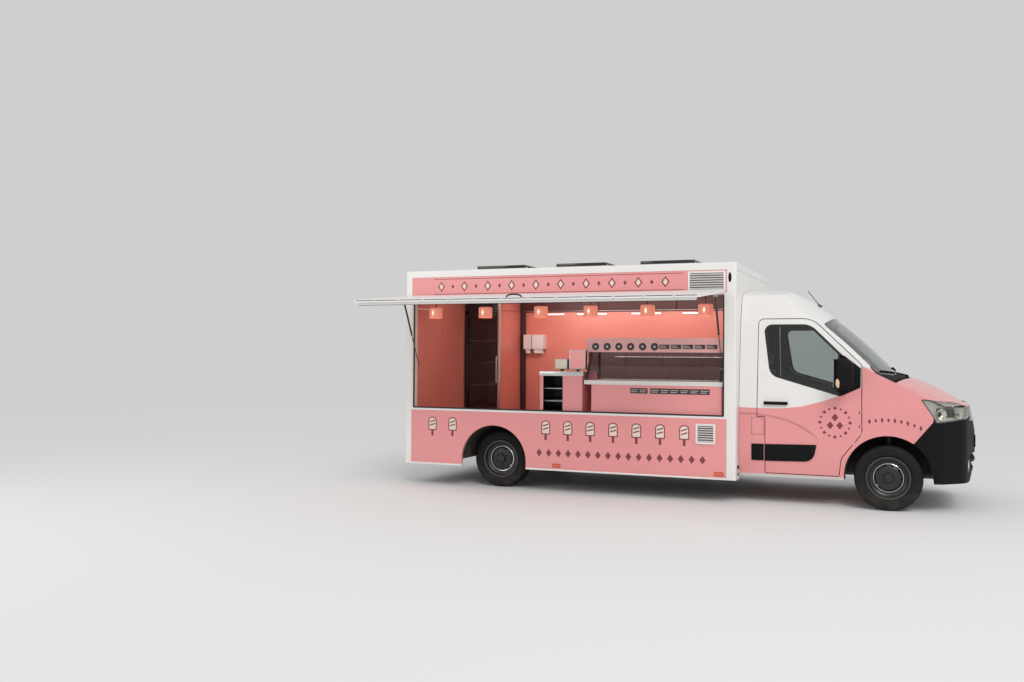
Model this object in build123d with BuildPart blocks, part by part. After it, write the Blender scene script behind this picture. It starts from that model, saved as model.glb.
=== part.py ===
from build123d import *
import os
from math import atan2, cos, degrees, hypot, radians, sin

os.makedirs("parts", exist_ok=True)

# Ice cream truck: a low-floor van cab with a box body and a serving hatch.
# Millimetres. +X is forward, +Y is the truck's left and the ground is Z = 0.
# The origin is on the ground, on the centre line, midway between the axles.

# Running gear
WHEELBASE = 4332
FRONT_TRACK = 1750
REAR_TRACK = 1730
TYRE_RADIUS = 335
TYRE_WIDTH = 225
RIM_RADIUS = 208
RIM_WALL = 12
SPINDLE_RADIUS = 22
SPINDLE_PLAY = 0.05
FRONT_AXLE = WHEELBASE / 2
REAR_AXLE = -WHEELBASE / 2

# Box body
REAR_OVERHANG = 1178
BOX_SETBACK = 1510
BOX_WIDTH = 2400
BOX_BOTTOM = 254
BOX_TOP = 2588
WALL = 35
ROOF = 45
POST = 88
SILL_RAIL = 36
ROOF_RAIL = 80
FRAME_PROUD = 4
FLOOR_BOTTOM = 400
FLOOR = 40
SEAT = 0.3
BOX_FRONT = FRONT_AXLE - BOX_SETBACK
BOX_REAR = REAR_AXLE - REAR_OVERHANG
HALF_BOX = BOX_WIDTH / 2
PANEL_FACE = HALF_BOX - FRAME_PROUD
PANEL_BACK = PANEL_FACE - WALL
FLOOR_TOP = FLOOR_BOTTOM + FLOOR
POST_REAR = BOX_REAR + POST
POST_FRONT = BOX_FRONT - POST
CEILING = BOX_TOP - ROOF

# Serving hatch
HATCH_BOTTOM = 933
HATCH_TOP = 2240
HATCH_SILL = 28
HEADER = 25
HATCH_REAR_MARGIN = 24
HATCH_FRONT_MARGIN = 42
FLAP_THICKNESS = 30
FLAP_DROOP = 5.3
FLAP_OVERLAP = 12
FLAP_HINGE_OUT = 8
FLAP_PLATE_START = 17
HINGE_ROD = 5
HINGE_KNUCKLE = 11
HINGE_PLAY = 0.05
HATCH_REAR = POST_REAR + HATCH_REAR_MARGIN
HATCH_FRONT = POST_FRONT - HATCH_FRONT_MARGIN
FLAP_AXIS_Y = -(HALF_BOX + FLAP_HINGE_OUT)
FLAP_AXIS_Z = HATCH_TOP + HEADER - 3
FLAP_LENGTH = FLAP_AXIS_Z - HATCH_BOTTOM + FLAP_OVERLAP

# Gas struts of the hatch: the pin on the jamb, and the eye on the flap
STRUT_INSET = 34
STRUT_PIN_Y = -1122
STRUT_PIN_Z = 1440
STRUT_REACH = 310
STRUT_DROP = 24
STRUT_BODY_RADIUS = 11
STRUT_ROD_RADIUS = 5
STRUT_BODY_LENGTH = 455
STRUT_EYE = 11
STRUT_EYE_WIDTH = 10
STRUT_PIN_RADIUS = 5
STRUT_ROD_LENGTH = 480
STRUT_BORE_END = 30
STRUT_NECK = 22

# Cab
CAB_BOTTOM = 290
CAB_WALL = 60
BONNET_THICKNESS = 35
DOOR_GAP = 8
BONNET_GAP = 8
BONNET_REAR_GAP = 26
BONNET_AXIS = 22
BONNET_AXIS_Z = 1310
BONNET_ARM_Y = 780
DOOR_AXIS = 268
DOOR_AXIS_Y = 1005
DOOR_PIN_RADIUS = 4
DOOR_HINGE_ZS = (860, 1000)
DOOR_PRISM_START = 820
GLASS = 6
GLASS_SET = 6
GLASS_PLAY = 0.5
BUMPER_WALL = 50
LAMP_DEPTH = 70
PANEL_PLAY = 0.5
FIREWALL = FRONT_AXLE - 60
FIREWALL_THICKNESS = 30
COWL_TRAY = 1300
HALF_FLOOR = 760
ARCH_RADIUS = 432
ARCH_HEIGHT = 340
ARCH_INNER = 560
LINER = 8

# Chassis
RAIL_Y = 480
RAIL_WIDTH = 60
RAIL_HEIGHT = 100
RAIL_BOTTOM = FLOOR_BOTTOM - RAIL_HEIGHT
KINGPIN_Y = 770
KINGPIN_RADIUS = 10


def solid_box(x, y, z, mode=Mode.ADD):
    """Add a box to the part in hand, from its low and high X, Y and Z."""
    with Locations(((x[0] + x[1]) / 2, (y[0] + y[1]) / 2, (z[0] + z[1]) / 2)):
        Box(x[1] - x[0], y[1] - y[0], z[1] - z[0], mode=mode)


def rod(start, end, radius, mode=Mode.ADD):
    """Add a round bar to the part in hand, from one end's centre to the other's."""
    along = Vector(*end) - Vector(*start)
    with Locations(Plane(origin=(Vector(*start) + Vector(*end)) / 2, z_dir=along)):
        Cylinder(radius, along.length, mode=mode)


def outline(points, inset=0):
    """A filled outline, from rows of first coordinate, second coordinate and corner radius."""
    corners = [row[:2] for row in points]
    radii = [row[2] for row in points]
    with BuildSketch() as face:
        with BuildLine():
            if any(radii):
                FilletPolyline(*corners, radius=radii, close=True)
            else:
                Polyline(*corners, close=True)
        make_face()
        if inset:
            offset(amount=-inset, kind=Kind.INTERSECTION)
    return face.sketch_local


def save(piece, name):
    """Label a finished piece and write it."""
    piece.label = name
    export_step(piece, f"parts/{name}.step")


def mirrored(piece):
    """The same piece on the other side of the centre line."""
    return piece.mirror(Plane.XZ)


# Cab outlines. Columns: distance ahead of the front axle, height, corner radius.
CAB_SIDE = [
    (-BOX_SETBACK, CAB_BOTTOM, 0),
    (-BOX_SETBACK, 2336, 0),
    (-1001, 2336, 870),
    (-90, 1621, 0),
    (690, 1621, 0),
    (790, 1040, 0),
    (836, 800, 300),
    (839, 500, 200),
    (774, 300, 0),
]
FENDER_TOP = [
    (-BOX_SETBACK - 200, 150, 0),
    (-BOX_SETBACK - 200, 1475, 0),
    (-257, 1475, 0),
    (291, 1201, 0),
    (534, 1080, 0),
    (1200, 1080, 0),
    (1200, 150, 0),
]
# Right half of the cab's front view. Columns: half width, height, corner radius.
CAB_HALF_FRONT = [
    (985, 200, 0),
    (985, 300, 0),
    (1012, 540, 300),
    (1008, 1000, 700),
    (966, 1400, 700),
    (893, 1960, 500),
    (800, 2250, 150),
    (400, 2322, 1500),
]
# Plan of the cab. Columns: distance ahead of the front axle, half width, corner radius.
CAB_HALF_PLAN = [
    (-BOX_SETBACK - 100, 1030, 0),
    (470, 1012, 260),
    (735, 765, 240),
    (843, 200, 900),
]
# Crowned surfaces: three points along the top at the centre line, and the radius across.
SCREEN_ARC = [(-756, 2144), (-329, 1798), (78, 1389)]
SCREEN_RADIUS = 2771
SCREEN_REACH = (900, 700)
BONNET_ARC = [(-66, 1424), (394, 1290), (786, 1050)]
BONNET_RADIUS = 3339
BONNET_REACH = (60, 60)


def ahead(points):
    """Move rows that start with a distance from the front axle to the truck's own X."""
    return [(FRONT_AXLE + row[0], *row[1:]) for row in points]


def crowned_body(arc, radius, reach, inset):
    """A barrel whose skin runs through three centre-line points and is round across."""
    first, middle, last = [Vector(FRONT_AXLE + x, z) for x, z in arc]
    chord = (last - first).normalized()
    normal = Vector(-chord.Y, chord.X)
    if normal.Y < 0:
        normal = -normal
    first = first - normal * inset
    middle = middle - normal * inset
    last = last - normal * inset
    start = first - chord * reach[0]
    end = last + chord * reach[1]
    axis_start = start - normal * radius
    axis_end = end - normal * radius
    with BuildPart() as barrel:
        with BuildSketch(Plane.XZ):
            with BuildLine():
                skin = ThreePointArc(first, middle, last)
                Line(first, start)
                Line(start, axis_start)
                Line(axis_start, axis_end)
                Line(axis_end, end)
                Line(end, last)
            make_face()
        revolve(axis=Axis((axis_start.X, 0, axis_start.Y), (chord.X, 0, chord.Y)))
    return barrel.part


def cab_form(inset):
    """The cab's outer form, set in all round by a distance."""
    with BuildPart() as crown:
        with BuildSketch(Plane.XZ):
            add(outline(ahead(FENDER_TOP), inset))
        extrude(amount=HALF_BOX, both=True)
        add(crowned_body(SCREEN_ARC, SCREEN_RADIUS, SCREEN_REACH, inset))
        add(crowned_body(BONNET_ARC, BONNET_RADIUS, BONNET_REACH, inset))
    with BuildPart() as form:
        with BuildSketch(Plane.XZ):
            add(outline(ahead(CAB_SIDE), inset))
        extrude(amount=HALF_BOX, both=True)
        half = CAB_HALF_FRONT
        with BuildSketch(Plane.YZ.offset(BOX_FRONT - 200)):
            add(outline(half + [(-y, z, r) for y, z, r in reversed(half)], inset))
        extrude(amount=BOX_SETBACK + 1300, mode=Mode.INTERSECT)
        half = ahead(CAB_HALF_PLAN)
        with BuildSketch(Plane.XY):
            add(outline(half + [(x, -y, r) for x, y, r in reversed(half)], inset))
        extrude(amount=BOX_TOP, mode=Mode.INTERSECT)
        add(crown.part, mode=Mode.INTERSECT)
    return form.part


OUTER = cab_form(0)
INNER = cab_form(CAB_WALL)

# Openings of the cab in side view. Columns: distance ahead of the front axle, height, corner radius.
DOOR_OUTLINE = [
    (-1324, 1990, 60),
    (-760, 1990, 260),
    (-255, 1500, 30),
    (-250, 784, 120),
    (-455, 520, 150),
    (-476, 327, 20),
    (-1239, 327, 20),
    (-1239, 930, 10),
    (-1324, 930, 10),
]
WINDOW_OUTLINE = [
    (-1268, 1926, 80),
    (-780, 1926, 200),
    (-268, 1418, 12),
    (-268, 1262, 12),
    (-475, 1166, 12),
    (-1190, 1376, 130),
]
SAIL_LINE = FRONT_AXLE - 470
# Plan of the bonnet, right half. Columns: distance ahead of the front axle, half width, corner radius.
BONNET_REAR_EDGE = [(192, 280, 500), (34, 858, 12)]
BONNET_SIDES = [
    (291, 862, 60),
    (440, 800, 60),
    (640, 640, 60),
    (790, 380, 200),
    (900, 120, 0),
]
# Plan of the cowl's rear edge, under the windscreen. Same columns.
COWL_REAR_EDGE = [(-190, 860, 12), (0, 420, 400)]
COWL_BOTTOM = 1150
BONNET_SHUT = 1020
# Windscreen, half outline on its own slope. Columns: half width, distance up the slope, corner radius.
SCREEN_HALF = [(790, 345, 60), (836, -420, 90), (420, -545, 700)]
# Headlamp seen along its own outward direction. Columns: distance along, height, corner radius.
LAMP_TURN = 40
LAMP_BACK = 600
LAMP_OUTLINE = [
    (-406, 1156, 12),
    (-132, 1130, 60),
    (267, 1083, 30),
    (246, 985, 30),
    (81, 950, 60),
    (-295, 912, 20),
]
# Bumper's region in side view. Columns: distance ahead of the front axle, height, corner radius.
BUMPER_OUTLINE = [
    (180, 250, 0),
    (180, 640, 0),
    (250, 709, 0),
    (424, 925, 0),
    (430, 1020, 0),
    (1000, 1020, 0),
    (1000, 250, 0),
]
GRILLE_HALF = 560
GRILLE_TOP = 1020
GRILLE_BOTTOM = 925


def side_prism(rows, inset, left=False):
    """The space behind an outline seen from the side, on one side of the cab."""
    with BuildPart() as prism:
        with BuildSketch(Plane.XZ.offset(DOOR_PRISM_START)):
            add(outline(ahead(rows), inset))
        extrude(amount=HALF_BOX - DOOR_PRISM_START)
    return mirrored(prism.part) if left else prism.part


def plan_prism(half, inset, bottom, top):
    """The space above a symmetrical outline seen from above, given by its right half."""
    rows = ahead(half)
    with BuildPart() as prism:
        with BuildSketch(Plane.XY.offset(bottom)):
            add(outline(rows + [(x, -y, r) for x, y, r in reversed(rows)], inset))
        extrude(amount=top - bottom)
    return prism.part


def bonnet_prism(rear_shift, inset):
    """The bonnet's space seen from above, with its rear edge moved back by a distance."""
    rear = [(x - rear_shift, y, r) for x, y, r in BONNET_REAR_EDGE]
    return plan_prism(rear + BONNET_SIDES, inset, BONNET_SHUT + inset, 1800)


def cowl_prism(inset):
    """The cowl's space seen from above, between the windscreen and the bonnet."""
    front = [(x - BONNET_REAR_GAP, y, r) for x, y, r in reversed(BONNET_REAR_EDGE)]
    return plan_prism(COWL_REAR_EDGE[::-1] + front, inset, COWL_BOTTOM, 1800)


def screen_prism(inset):
    """The space in front of the windscreen's outline, square to its slope."""
    low = Vector(FRONT_AXLE + SCREEN_ARC[2][0], SCREEN_ARC[2][1])
    high = Vector(FRONT_AXLE + SCREEN_ARC[0][0], SCREEN_ARC[0][1])
    middle = (low + high) * 0.5
    up = (high - low).normalized()
    plane = Plane(origin=(middle.X, 0, middle.Y), x_dir=(0, 1, 0), z_dir=(up.Y, 0, -up.X))
    half = SCREEN_HALF
    with BuildPart() as prism:
        with BuildSketch(plane.offset(-400)):
            add(outline(half + [(-x, y, r) for x, y, r in reversed(half)], inset))
        extrude(amount=700)
    return prism.part


def lamp_prism(inset):
    """The space in front of a headlamp's outline, on the right side."""
    turn = radians(LAMP_TURN)
    plane = Plane(
        origin=(FRONT_AXLE, 0, 0),
        x_dir=(cos(turn), sin(turn), 0),
        z_dir=(sin(turn), -cos(turn), 0),
    )
    with BuildPart() as prism:
        with BuildSketch(plane.offset(LAMP_BACK)):
            add(outline(LAMP_OUTLINE, inset))
        extrude(amount=1500)
    return prism.part


# Chassis: side members, cross-members, the rear hitch plate and the front beam
RAIL_REAR = BOX_REAR + 60
RAIL_FRONT = FRONT_AXLE + 640
CROSS_XS = [RAIL_REAR, REAR_AXLE + 520, -400, 700, FRONT_AXLE - 560]
HITCH_LENGTH = 200
HITCH_THICKNESS = 12
HITCH_SPACING_Y = 240
HITCH_SPACING_X = 120
HITCH_HOLE = 6.5
TOW_EYE_Y = -400
TOW_EYE_Z = 360
TOW_EYE_RADIUS = 9
TOW_EYE_DEPTH = 60
with BuildPart() as side_members:
    for side in (-1, 1):
        y = side * RAIL_Y
        solid_box((RAIL_REAR, RAIL_FRONT), (y - RAIL_WIDTH / 2, y + RAIL_WIDTH / 2), (RAIL_BOTTOM, FLOOR_BOTTOM))
    for x in CROSS_XS:
        solid_box((x, x + 60), (-RAIL_Y, RAIL_Y), (RAIL_BOTTOM + 20, FLOOR_BOTTOM - 10))
    solid_box(
        (RAIL_REAR, RAIL_REAR + HITCH_LENGTH),
        (-RAIL_Y, RAIL_Y),
        (RAIL_BOTTOM, RAIL_BOTTOM + HITCH_THICKNESS),
    )
    solid_box((RAIL_FRONT, RAIL_FRONT + TOW_EYE_DEPTH), (-520, 520), (RAIL_BOTTOM + 20, FLOOR_BOTTOM))
    rod(
        (RAIL_FRONT, TOW_EYE_Y, TOW_EYE_Z),
        (RAIL_FRONT + TOW_EYE_DEPTH, TOW_EYE_Y, TOW_EYE_Z),
        TOW_EYE_RADIUS,
        Mode.SUBTRACT,
    )
    with Locations((RAIL_REAR + 60 + (HITCH_LENGTH - 60) / 2, 0, RAIL_BOTTOM)):
        with GridLocations(HITCH_SPACING_X, HITCH_SPACING_Y, 2, 2):
            Cylinder(HITCH_HOLE, 3 * HITCH_THICKNESS, mode=Mode.SUBTRACT)
save(side_members.part, "side_members")

# Cab shell: roof, pillars, fenders, sills, floor and firewall in one
GLASS_FACE = cab_form(GLASS_SET)
GLASS_BACK = cab_form(GLASS_SET + GLASS)
BONNET_BACK = cab_form(BONNET_THICKNESS)
BUMPER_BACK = cab_form(BUMPER_WALL)


def within(form, space, *cuts):
    """The part of a form that lies in a space, less any cuts."""
    with BuildPart() as piece:
        add(form)
        add(space, mode=Mode.INTERSECT)
        for cut in cuts:
            add(cut, mode=Mode.SUBTRACT)
    return piece.part


def box_space(x, y, z):
    """A plain box as a space, from its low and high X, Y and Z."""
    with BuildPart() as space:
        solid_box(x, y, z)
    return space.part


EVERY_Y = (-HALF_BOX, HALF_BOX)
CABIN_SPACE = within(INNER, box_space((BOX_FRONT - 100, FIREWALL), EVERY_Y, (FLOOR_TOP + 5, BOX_TOP)))
DASH_SPACE = within(
    INNER, box_space((BOX_FRONT - 100, FRONT_AXLE + 900), EVERY_Y, (COWL_TRAY + FIREWALL_THICKNESS, BOX_TOP))
)
ENGINE_SPACE = within(
    INNER, box_space((FIREWALL + FIREWALL_THICKNESS, FRONT_AXLE + 1000), EVERY_Y, (0, COWL_TRAY))
)
with BuildPart() as arch_space:
    for side in (-1, 1):
        rod(
            (FRONT_AXLE, side * ARCH_INNER, ARCH_HEIGHT),
            (FRONT_AXLE, side * HALF_BOX, ARCH_HEIGHT),
            ARCH_RADIUS,
        )
with BuildPart() as bumper_space:
    with BuildSketch(Plane.XZ):
        add(outline(ahead(BUMPER_OUTLINE)))
    extrude(amount=HALF_BOX, both=True)
GRILLE_SPACE = box_space(
    (FRONT_AXLE + 400, FRONT_AXLE + 1000), (-GRILLE_HALF, GRILLE_HALF), (GRILLE_BOTTOM, GRILLE_TOP + 200)
)
UNDER_FLOOR = box_space((BOX_FRONT - 50, FRONT_AXLE + 1000), (-HALF_FLOOR, HALF_FLOOR), (0, FLOOR_BOTTOM))
DOOR_SPACE = side_prism(DOOR_OUTLINE, 0)
LAMP_SPACE = lamp_prism(0)
with BuildPart() as cowl_space:
    add(cowl_prism(0))
    add(BONNET_BACK, mode=Mode.SUBTRACT)
with BuildPart() as cab_shell:
    add(OUTER)
    for space in (
        CABIN_SPACE,
        DASH_SPACE,
        ENGINE_SPACE,
        arch_space.part,
        bumper_space.part,
        DOOR_SPACE,
        mirrored(DOOR_SPACE),
        screen_prism(0),
        cowl_space.part,
        bonnet_prism(BONNET_REAR_GAP, 0),
        LAMP_SPACE,
        mirrored(LAMP_SPACE),
        GRILLE_SPACE,
        UNDER_FLOOR,
    ):
        add(space, mode=Mode.SUBTRACT)
    hinge_x = FRONT_AXLE - DOOR_AXIS
    for side in (-1, 1):
        for z in DOOR_HINGE_ZS:
            y = side * DOOR_AXIS_Y
            solid_box((hinge_x, FRONT_AXLE - 225), (y - 6, y + 6), (z - 6, z + 6))
            rod((hinge_x, y, z - 6), (hinge_x, y, z + 6), 8)
            rod((hinge_x, y, z - 7), (hinge_x, y, z + 7), DOOR_PIN_RADIUS + HINGE_PLAY, Mode.SUBTRACT)
        y = side * BONNET_ARM_Y
        solid_box(
            (FRONT_AXLE + BONNET_AXIS - 16, FRONT_AXLE + 70),
            (y - 11, y + 11),
            (BONNET_AXIS_Z - 44, BONNET_AXIS_Z + 30),
            Mode.SUBTRACT,
        )
        for y in (side * (BONNET_ARM_Y - 15), side * (BONNET_ARM_Y + 15)):
            solid_box((FRONT_AXLE - 30, FRONT_AXLE + BONNET_AXIS), (y - 4, y + 4), (BONNET_AXIS_Z - 9, BONNET_AXIS_Z + 9))
            rod(
                (FRONT_AXLE + BONNET_AXIS, y - 4, BONNET_AXIS_Z),
                (FRONT_AXLE + BONNET_AXIS, y + 4, BONNET_AXIS_Z),
                9,
            )
            rod(
                (FRONT_AXLE + BONNET_AXIS, y - 5, BONNET_AXIS_Z),
                (FRONT_AXLE + BONNET_AXIS, y + 5, BONNET_AXIS_Z),
                DOOR_PIN_RADIUS + HINGE_PLAY,
                Mode.SUBTRACT,
            )
save(cab_shell.part, "cab_shell")

# Glazing and cowl
save(within(GLASS_FACE, screen_prism(GLASS_PLAY), GLASS_BACK), "windscreen")
with BuildPart() as hinge_pockets:
    for side in (-1, 1):
        y = side * BONNET_ARM_Y
        solid_box((FRONT_AXLE - 40, FRONT_AXLE + 60), (y - 26, y + 26), (COWL_BOTTOM, BONNET_AXIS_Z + 16))
save(within(OUTER, cowl_prism(PANEL_PLAY), BONNET_BACK, screen_prism(0), hinge_pockets.part), "cowl")

# Bumper, with its lower intakes, the grille above it and the headlamps
with BuildPart() as intakes:
    for z in (430, 520):
        solid_box((FRONT_AXLE + 500, FRONT_AXLE + 900), (-520, 520), (z, z + 60))
    solid_box(
        (RAIL_FRONT + TOW_EYE_DEPTH, FRONT_AXLE + 900),
        (TOW_EYE_Y - 42, TOW_EYE_Y + 42),
        (TOW_EYE_Z - 34, TOW_EYE_Z + 34),
    )
BUMPER_INNER = box_space((FRONT_AXLE, RAIL_FRONT + 75), (-700, 700), (0, CAB_BOTTOM + BUMPER_WALL + 15))
with BuildPart() as bumper_region:
    with BuildSketch(Plane.XZ):
        add(outline(ahead(BUMPER_OUTLINE), PANEL_PLAY))
    extrude(amount=HALF_BOX, both=True)
front_bumper = within(
    OUTER,
    bumper_region.part,
    BUMPER_BACK,
    arch_space.part,
    GRILLE_SPACE,
    LAMP_SPACE,
    mirrored(LAMP_SPACE),
    BUMPER_INNER,
    intakes.part,
)
save(front_bumper, "front_bumper")
with BuildPart() as grille_slots:
    for z in (944, 964, 984):
        solid_box((FRONT_AXLE + 400, FRONT_AXLE + 1000), (-530, 530), (z, z + 12))
upper_grille = within(
    OUTER,
    box_space(
        (FRONT_AXLE + 400, FRONT_AXLE + 1000),
        (-GRILLE_HALF + PANEL_PLAY, GRILLE_HALF - PANEL_PLAY),
        (GRILLE_BOTTOM + PANEL_PLAY, GRILLE_TOP - PANEL_PLAY),
    ),
    BONNET_BACK,
    LAMP_SPACE,
    mirrored(LAMP_SPACE),
    grille_slots.part,
)
save(upper_grille, "upper_grille")
lamp = within(OUTER, lamp_prism(PANEL_PLAY), INNER)
with BuildPart() as headlamps:
    add(lamp)
    add(mirrored(lamp))
save(headlamps.part, "headlamps")

# Bonnet, hinged on two goose-neck arms under its rear edge
with BuildPart() as bonnet:
    lamp_clearance = lamp_prism(PANEL_PLAY - BONNET_GAP)
    add(within(OUTER, bonnet_prism(0, BONNET_GAP), BONNET_BACK, lamp_clearance, mirrored(lamp_clearance)))
    for side in (-1, 1):
        y = side * BONNET_ARM_Y
        axis_x = FRONT_AXLE + BONNET_AXIS
        rod((axis_x, y - 6, BONNET_AXIS_Z), (axis_x, y + 6, BONNET_AXIS_Z), 8)
        solid_box((axis_x, FRONT_AXLE + 70), (y - 6, y + 6), (BONNET_AXIS_Z - 34, BONNET_AXIS_Z - 18))
        solid_box((axis_x - 8, axis_x + 8), (y - 6, y + 6), (BONNET_AXIS_Z - 34, BONNET_AXIS_Z))
        rod((axis_x, y - 19, BONNET_AXIS_Z), (axis_x, y + 19, BONNET_AXIS_Z), DOOR_PIN_RADIUS)
save(bonnet.part, "bonnet")

# Cab doors with their glass and mirrors
DOOR_SILL = box_space((BOX_FRONT, FRONT_AXLE), (-940, -800), (0, CAB_BOTTOM + CAB_WALL + 2))
with BuildPart() as door_right:
    add(within(OUTER, side_prism(DOOR_OUTLINE, DOOR_GAP), INNER, side_prism(WINDOW_OUTLINE, 0), DOOR_SILL))
    for z in DOOR_HINGE_ZS:
        hinge_x = FRONT_AXLE - DOOR_AXIS
        solid_box(
            (hinge_x - 15, FRONT_AXLE - 200),
            (-DOOR_AXIS_Y - 40, -DOOR_AXIS_Y + 14),
            (z - 13, z + 13),
            Mode.SUBTRACT,
        )
        rod((hinge_x, -DOOR_AXIS_Y, z - 20), (hinge_x, -DOOR_AXIS_Y, z + 20), DOOR_PIN_RADIUS)
save(door_right.part, "door_right")
save(mirrored(door_right.part), "door_left")
pane_space = side_prism(WINDOW_OUTLINE, GLASS_PLAY)
behind_sail = box_space((BOX_FRONT, SAIL_LINE - GLASS_PLAY), EVERY_Y, (1000, BOX_TOP))
door_glass = within(within(GLASS_FACE, pane_space, GLASS_BACK), behind_sail)
save(door_glass, "door_glass_right")
save(mirrored(door_glass), "door_glass_left")
MIRROR_BOTTOM = 1238
MIRROR_TOP = 1568
with BuildPart() as mirror_right:
    add(within(within(GLASS_FACE, pane_space, GLASS_BACK), box_space((SAIL_LINE, FRONT_AXLE), EVERY_Y, (1000, BOX_TOP))))
    rod((SAIL_LINE + 60, -962, 1310), (SAIL_LINE + 40, -1130, 1330), 24)
    with BuildSketch(Plane.XY.offset(MIRROR_BOTTOM)):
        add(
            outline(
                [
                    (SAIL_LINE - 50, -1100, 12),
                    (SAIL_LINE - 50, -1262, 12),
                    (SAIL_LINE + 60, -1255, 50),
                    (SAIL_LINE + 145, -1170, 60),
                    (SAIL_LINE + 120, -1100, 50),
                ]
            )
        )
    extrude(amount=MIRROR_TOP - MIRROR_BOTTOM)
save(mirror_right.part, "mirror_right")
save(mirrored(mirror_right.part), "mirror_left")

# Dashboard, steering wheel and seats
DASH_SECTION = [
    (-63, 780, 0),
    (-63, 1290, 0),
    (-300, 1240, 60),
    (-440, 1170, 40),
    (-430, 1080, 40),
    (-330, 950, 60),
    (-250, 780, 60),
]
WHEEL_Y = 430
WHEEL_CENTRE = (FRONT_AXLE - 600, WHEEL_Y, 1150)
COLUMN_FOOT = (FRONT_AXLE - 330, WHEEL_Y, 990)
COLUMN_RADIUS = 24
with BuildPart() as dashboard:
    with BuildSketch(Plane.XZ):
        add(outline(ahead(DASH_SECTION)))
    extrude(amount=880, both=True)
    solid_box((FRONT_AXLE - 300, FRONT_AXLE - 63), (-160, 160), (FLOOR_TOP + 5 + SEAT, 800))
    rod(WHEEL_CENTRE, COLUMN_FOOT, COLUMN_RADIUS, Mode.SUBTRACT)
save(dashboard.part, "dashboard")

with BuildPart() as steering_wheel:
    column = Vector(*COLUMN_FOOT) - Vector(*WHEEL_CENTRE)
    rod(WHEEL_CENTRE, COLUMN_FOOT, COLUMN_RADIUS)
    wheel_plane = Plane(origin=WHEEL_CENTRE, x_dir=(0, 1, 0), z_dir=column)
    with Locations(wheel_plane):
        Torus(190, 15)
        Cylinder(50, 30)
        with PolarLocations(105, 3, start_angle=90):
            Box(180, 30, 14)
save(steering_wheel.part, "steering_wheel")

# Cab seats. Columns: left edge and right edge of the seat, then its base's.
SEATS = [(180, 700), (-700, 60)]
with BuildPart() as cab_seats:
    for low, high in SEATS:
        solid_box((FRONT_AXLE - 1350, FRONT_AXLE - 900), (low + 40, high - 40), (FLOOR_TOP + 5 + SEAT, 710))
        cushion = [(-1390, 700, 30), (-1400, 850, 40), (-850, 870, 60), (-850, 720, 40)]
        backrest = [(-1390, 780, 50), (-1435, 1440, 50), (-1330, 1450, 50), (-1240, 800, 60)]
        headrest = [(-1425, 1430, 30), (-1432, 1640, 40), (-1345, 1640, 40), (-1335, 1430, 30)]
        with BuildSketch(Plane.XZ.offset(-high)):
            add(outline(ahead(cushion)))
            add(outline(ahead(backrest)))
        extrude(amount=high - low)
        with BuildSketch(Plane.XZ.offset(-(low + high) / 2 - 130)):
            add(outline(ahead(headrest)))
        extrude(amount=260)
save(cab_seats.part, "cab_seats")

# Engine, a plain block on the front cross-member
with BuildPart() as engine_block:
    solid_box((FRONT_AXLE + 10, FRONT_AXLE + 560), (-300, 300), (330 + SEAT, 930))
    fillet(engine_block.edges(), 30)
save(engine_block.part, "engine_block")


def span(side, low, high):
    """Low and high Y of something on the left (1) or right (-1)."""
    return (low, high) if side > 0 else (-high, -low)


# Front suspension: cross-member, lower arms and struts, each with a kingpin
ARM_TOP = 195
KNUCKLE_BOTTOM = 200
KNUCKLE_TOP = 465
STRUT_FOOT = 470
KINGPIN_DEPTH = 30
with BuildPart() as front_suspension:
    solid_box((FRONT_AXLE - 60, FRONT_AXLE + 60), (-510, 510), (230, RAIL_BOTTOM))
    solid_box((FRONT_AXLE - 60, FRONT_AXLE + 60), (-440, 440), (RAIL_BOTTOM, 330))
    for side in (-1, 1):
        y = side * KINGPIN_Y
        solid_box((FRONT_AXLE - 60, FRONT_AXLE + 60), span(side, 430, 510), (ARM_TOP - 15, 240))
        solid_box((FRONT_AXLE - 40, FRONT_AXLE + 40), span(side, 500, KINGPIN_Y + 30), (ARM_TOP - 15, ARM_TOP))
        rod((FRONT_AXLE, y, ARM_TOP - 5), (FRONT_AXLE, y, KNUCKLE_BOTTOM + KINGPIN_DEPTH), KINGPIN_RADIUS)
        solid_box((FRONT_AXLE - 30, FRONT_AXLE + 30), span(side, 690, KINGPIN_Y + 20), (STRUT_FOOT, STRUT_FOOT + 18))
        rod((FRONT_AXLE, y, STRUT_FOOT + 5), (FRONT_AXLE, y, KNUCKLE_TOP - KINGPIN_DEPTH), KINGPIN_RADIUS)
        top = ARCH_HEIGHT + ARCH_RADIUS - LINER - 2
        rod((FRONT_AXLE, side * 715, STRUT_FOOT + 10), (FRONT_AXLE, side * 715, top), 25)
save(front_suspension.part, "front_suspension")

# Knuckles, steered about upright kingpins
SPINDLE_END = 62
for side, hand in ((1, "left"), (-1, "right")):
    y = side * KINGPIN_Y
    with BuildPart() as knuckle:
        solid_box((FRONT_AXLE - 25, FRONT_AXLE + 25), (y - 20, y + 20), (KNUCKLE_BOTTOM, KNUCKLE_TOP))
        rod(
            (FRONT_AXLE, y, TYRE_RADIUS),
            (FRONT_AXLE, side * (FRONT_TRACK / 2 + SPINDLE_END), TYRE_RADIUS),
            SPINDLE_RADIUS,
        )
        for end, inward in ((KNUCKLE_BOTTOM, 1), (KNUCKLE_TOP, -1)):
            rod(
                (FRONT_AXLE, y, end - inward),
                (FRONT_AXLE, y, end + inward * (KINGPIN_DEPTH + 5)),
                KINGPIN_RADIUS + SPINDLE_PLAY,
                Mode.SUBTRACT,
            )
    save(knuckle.part, f"knuckle_{hand}")

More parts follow.
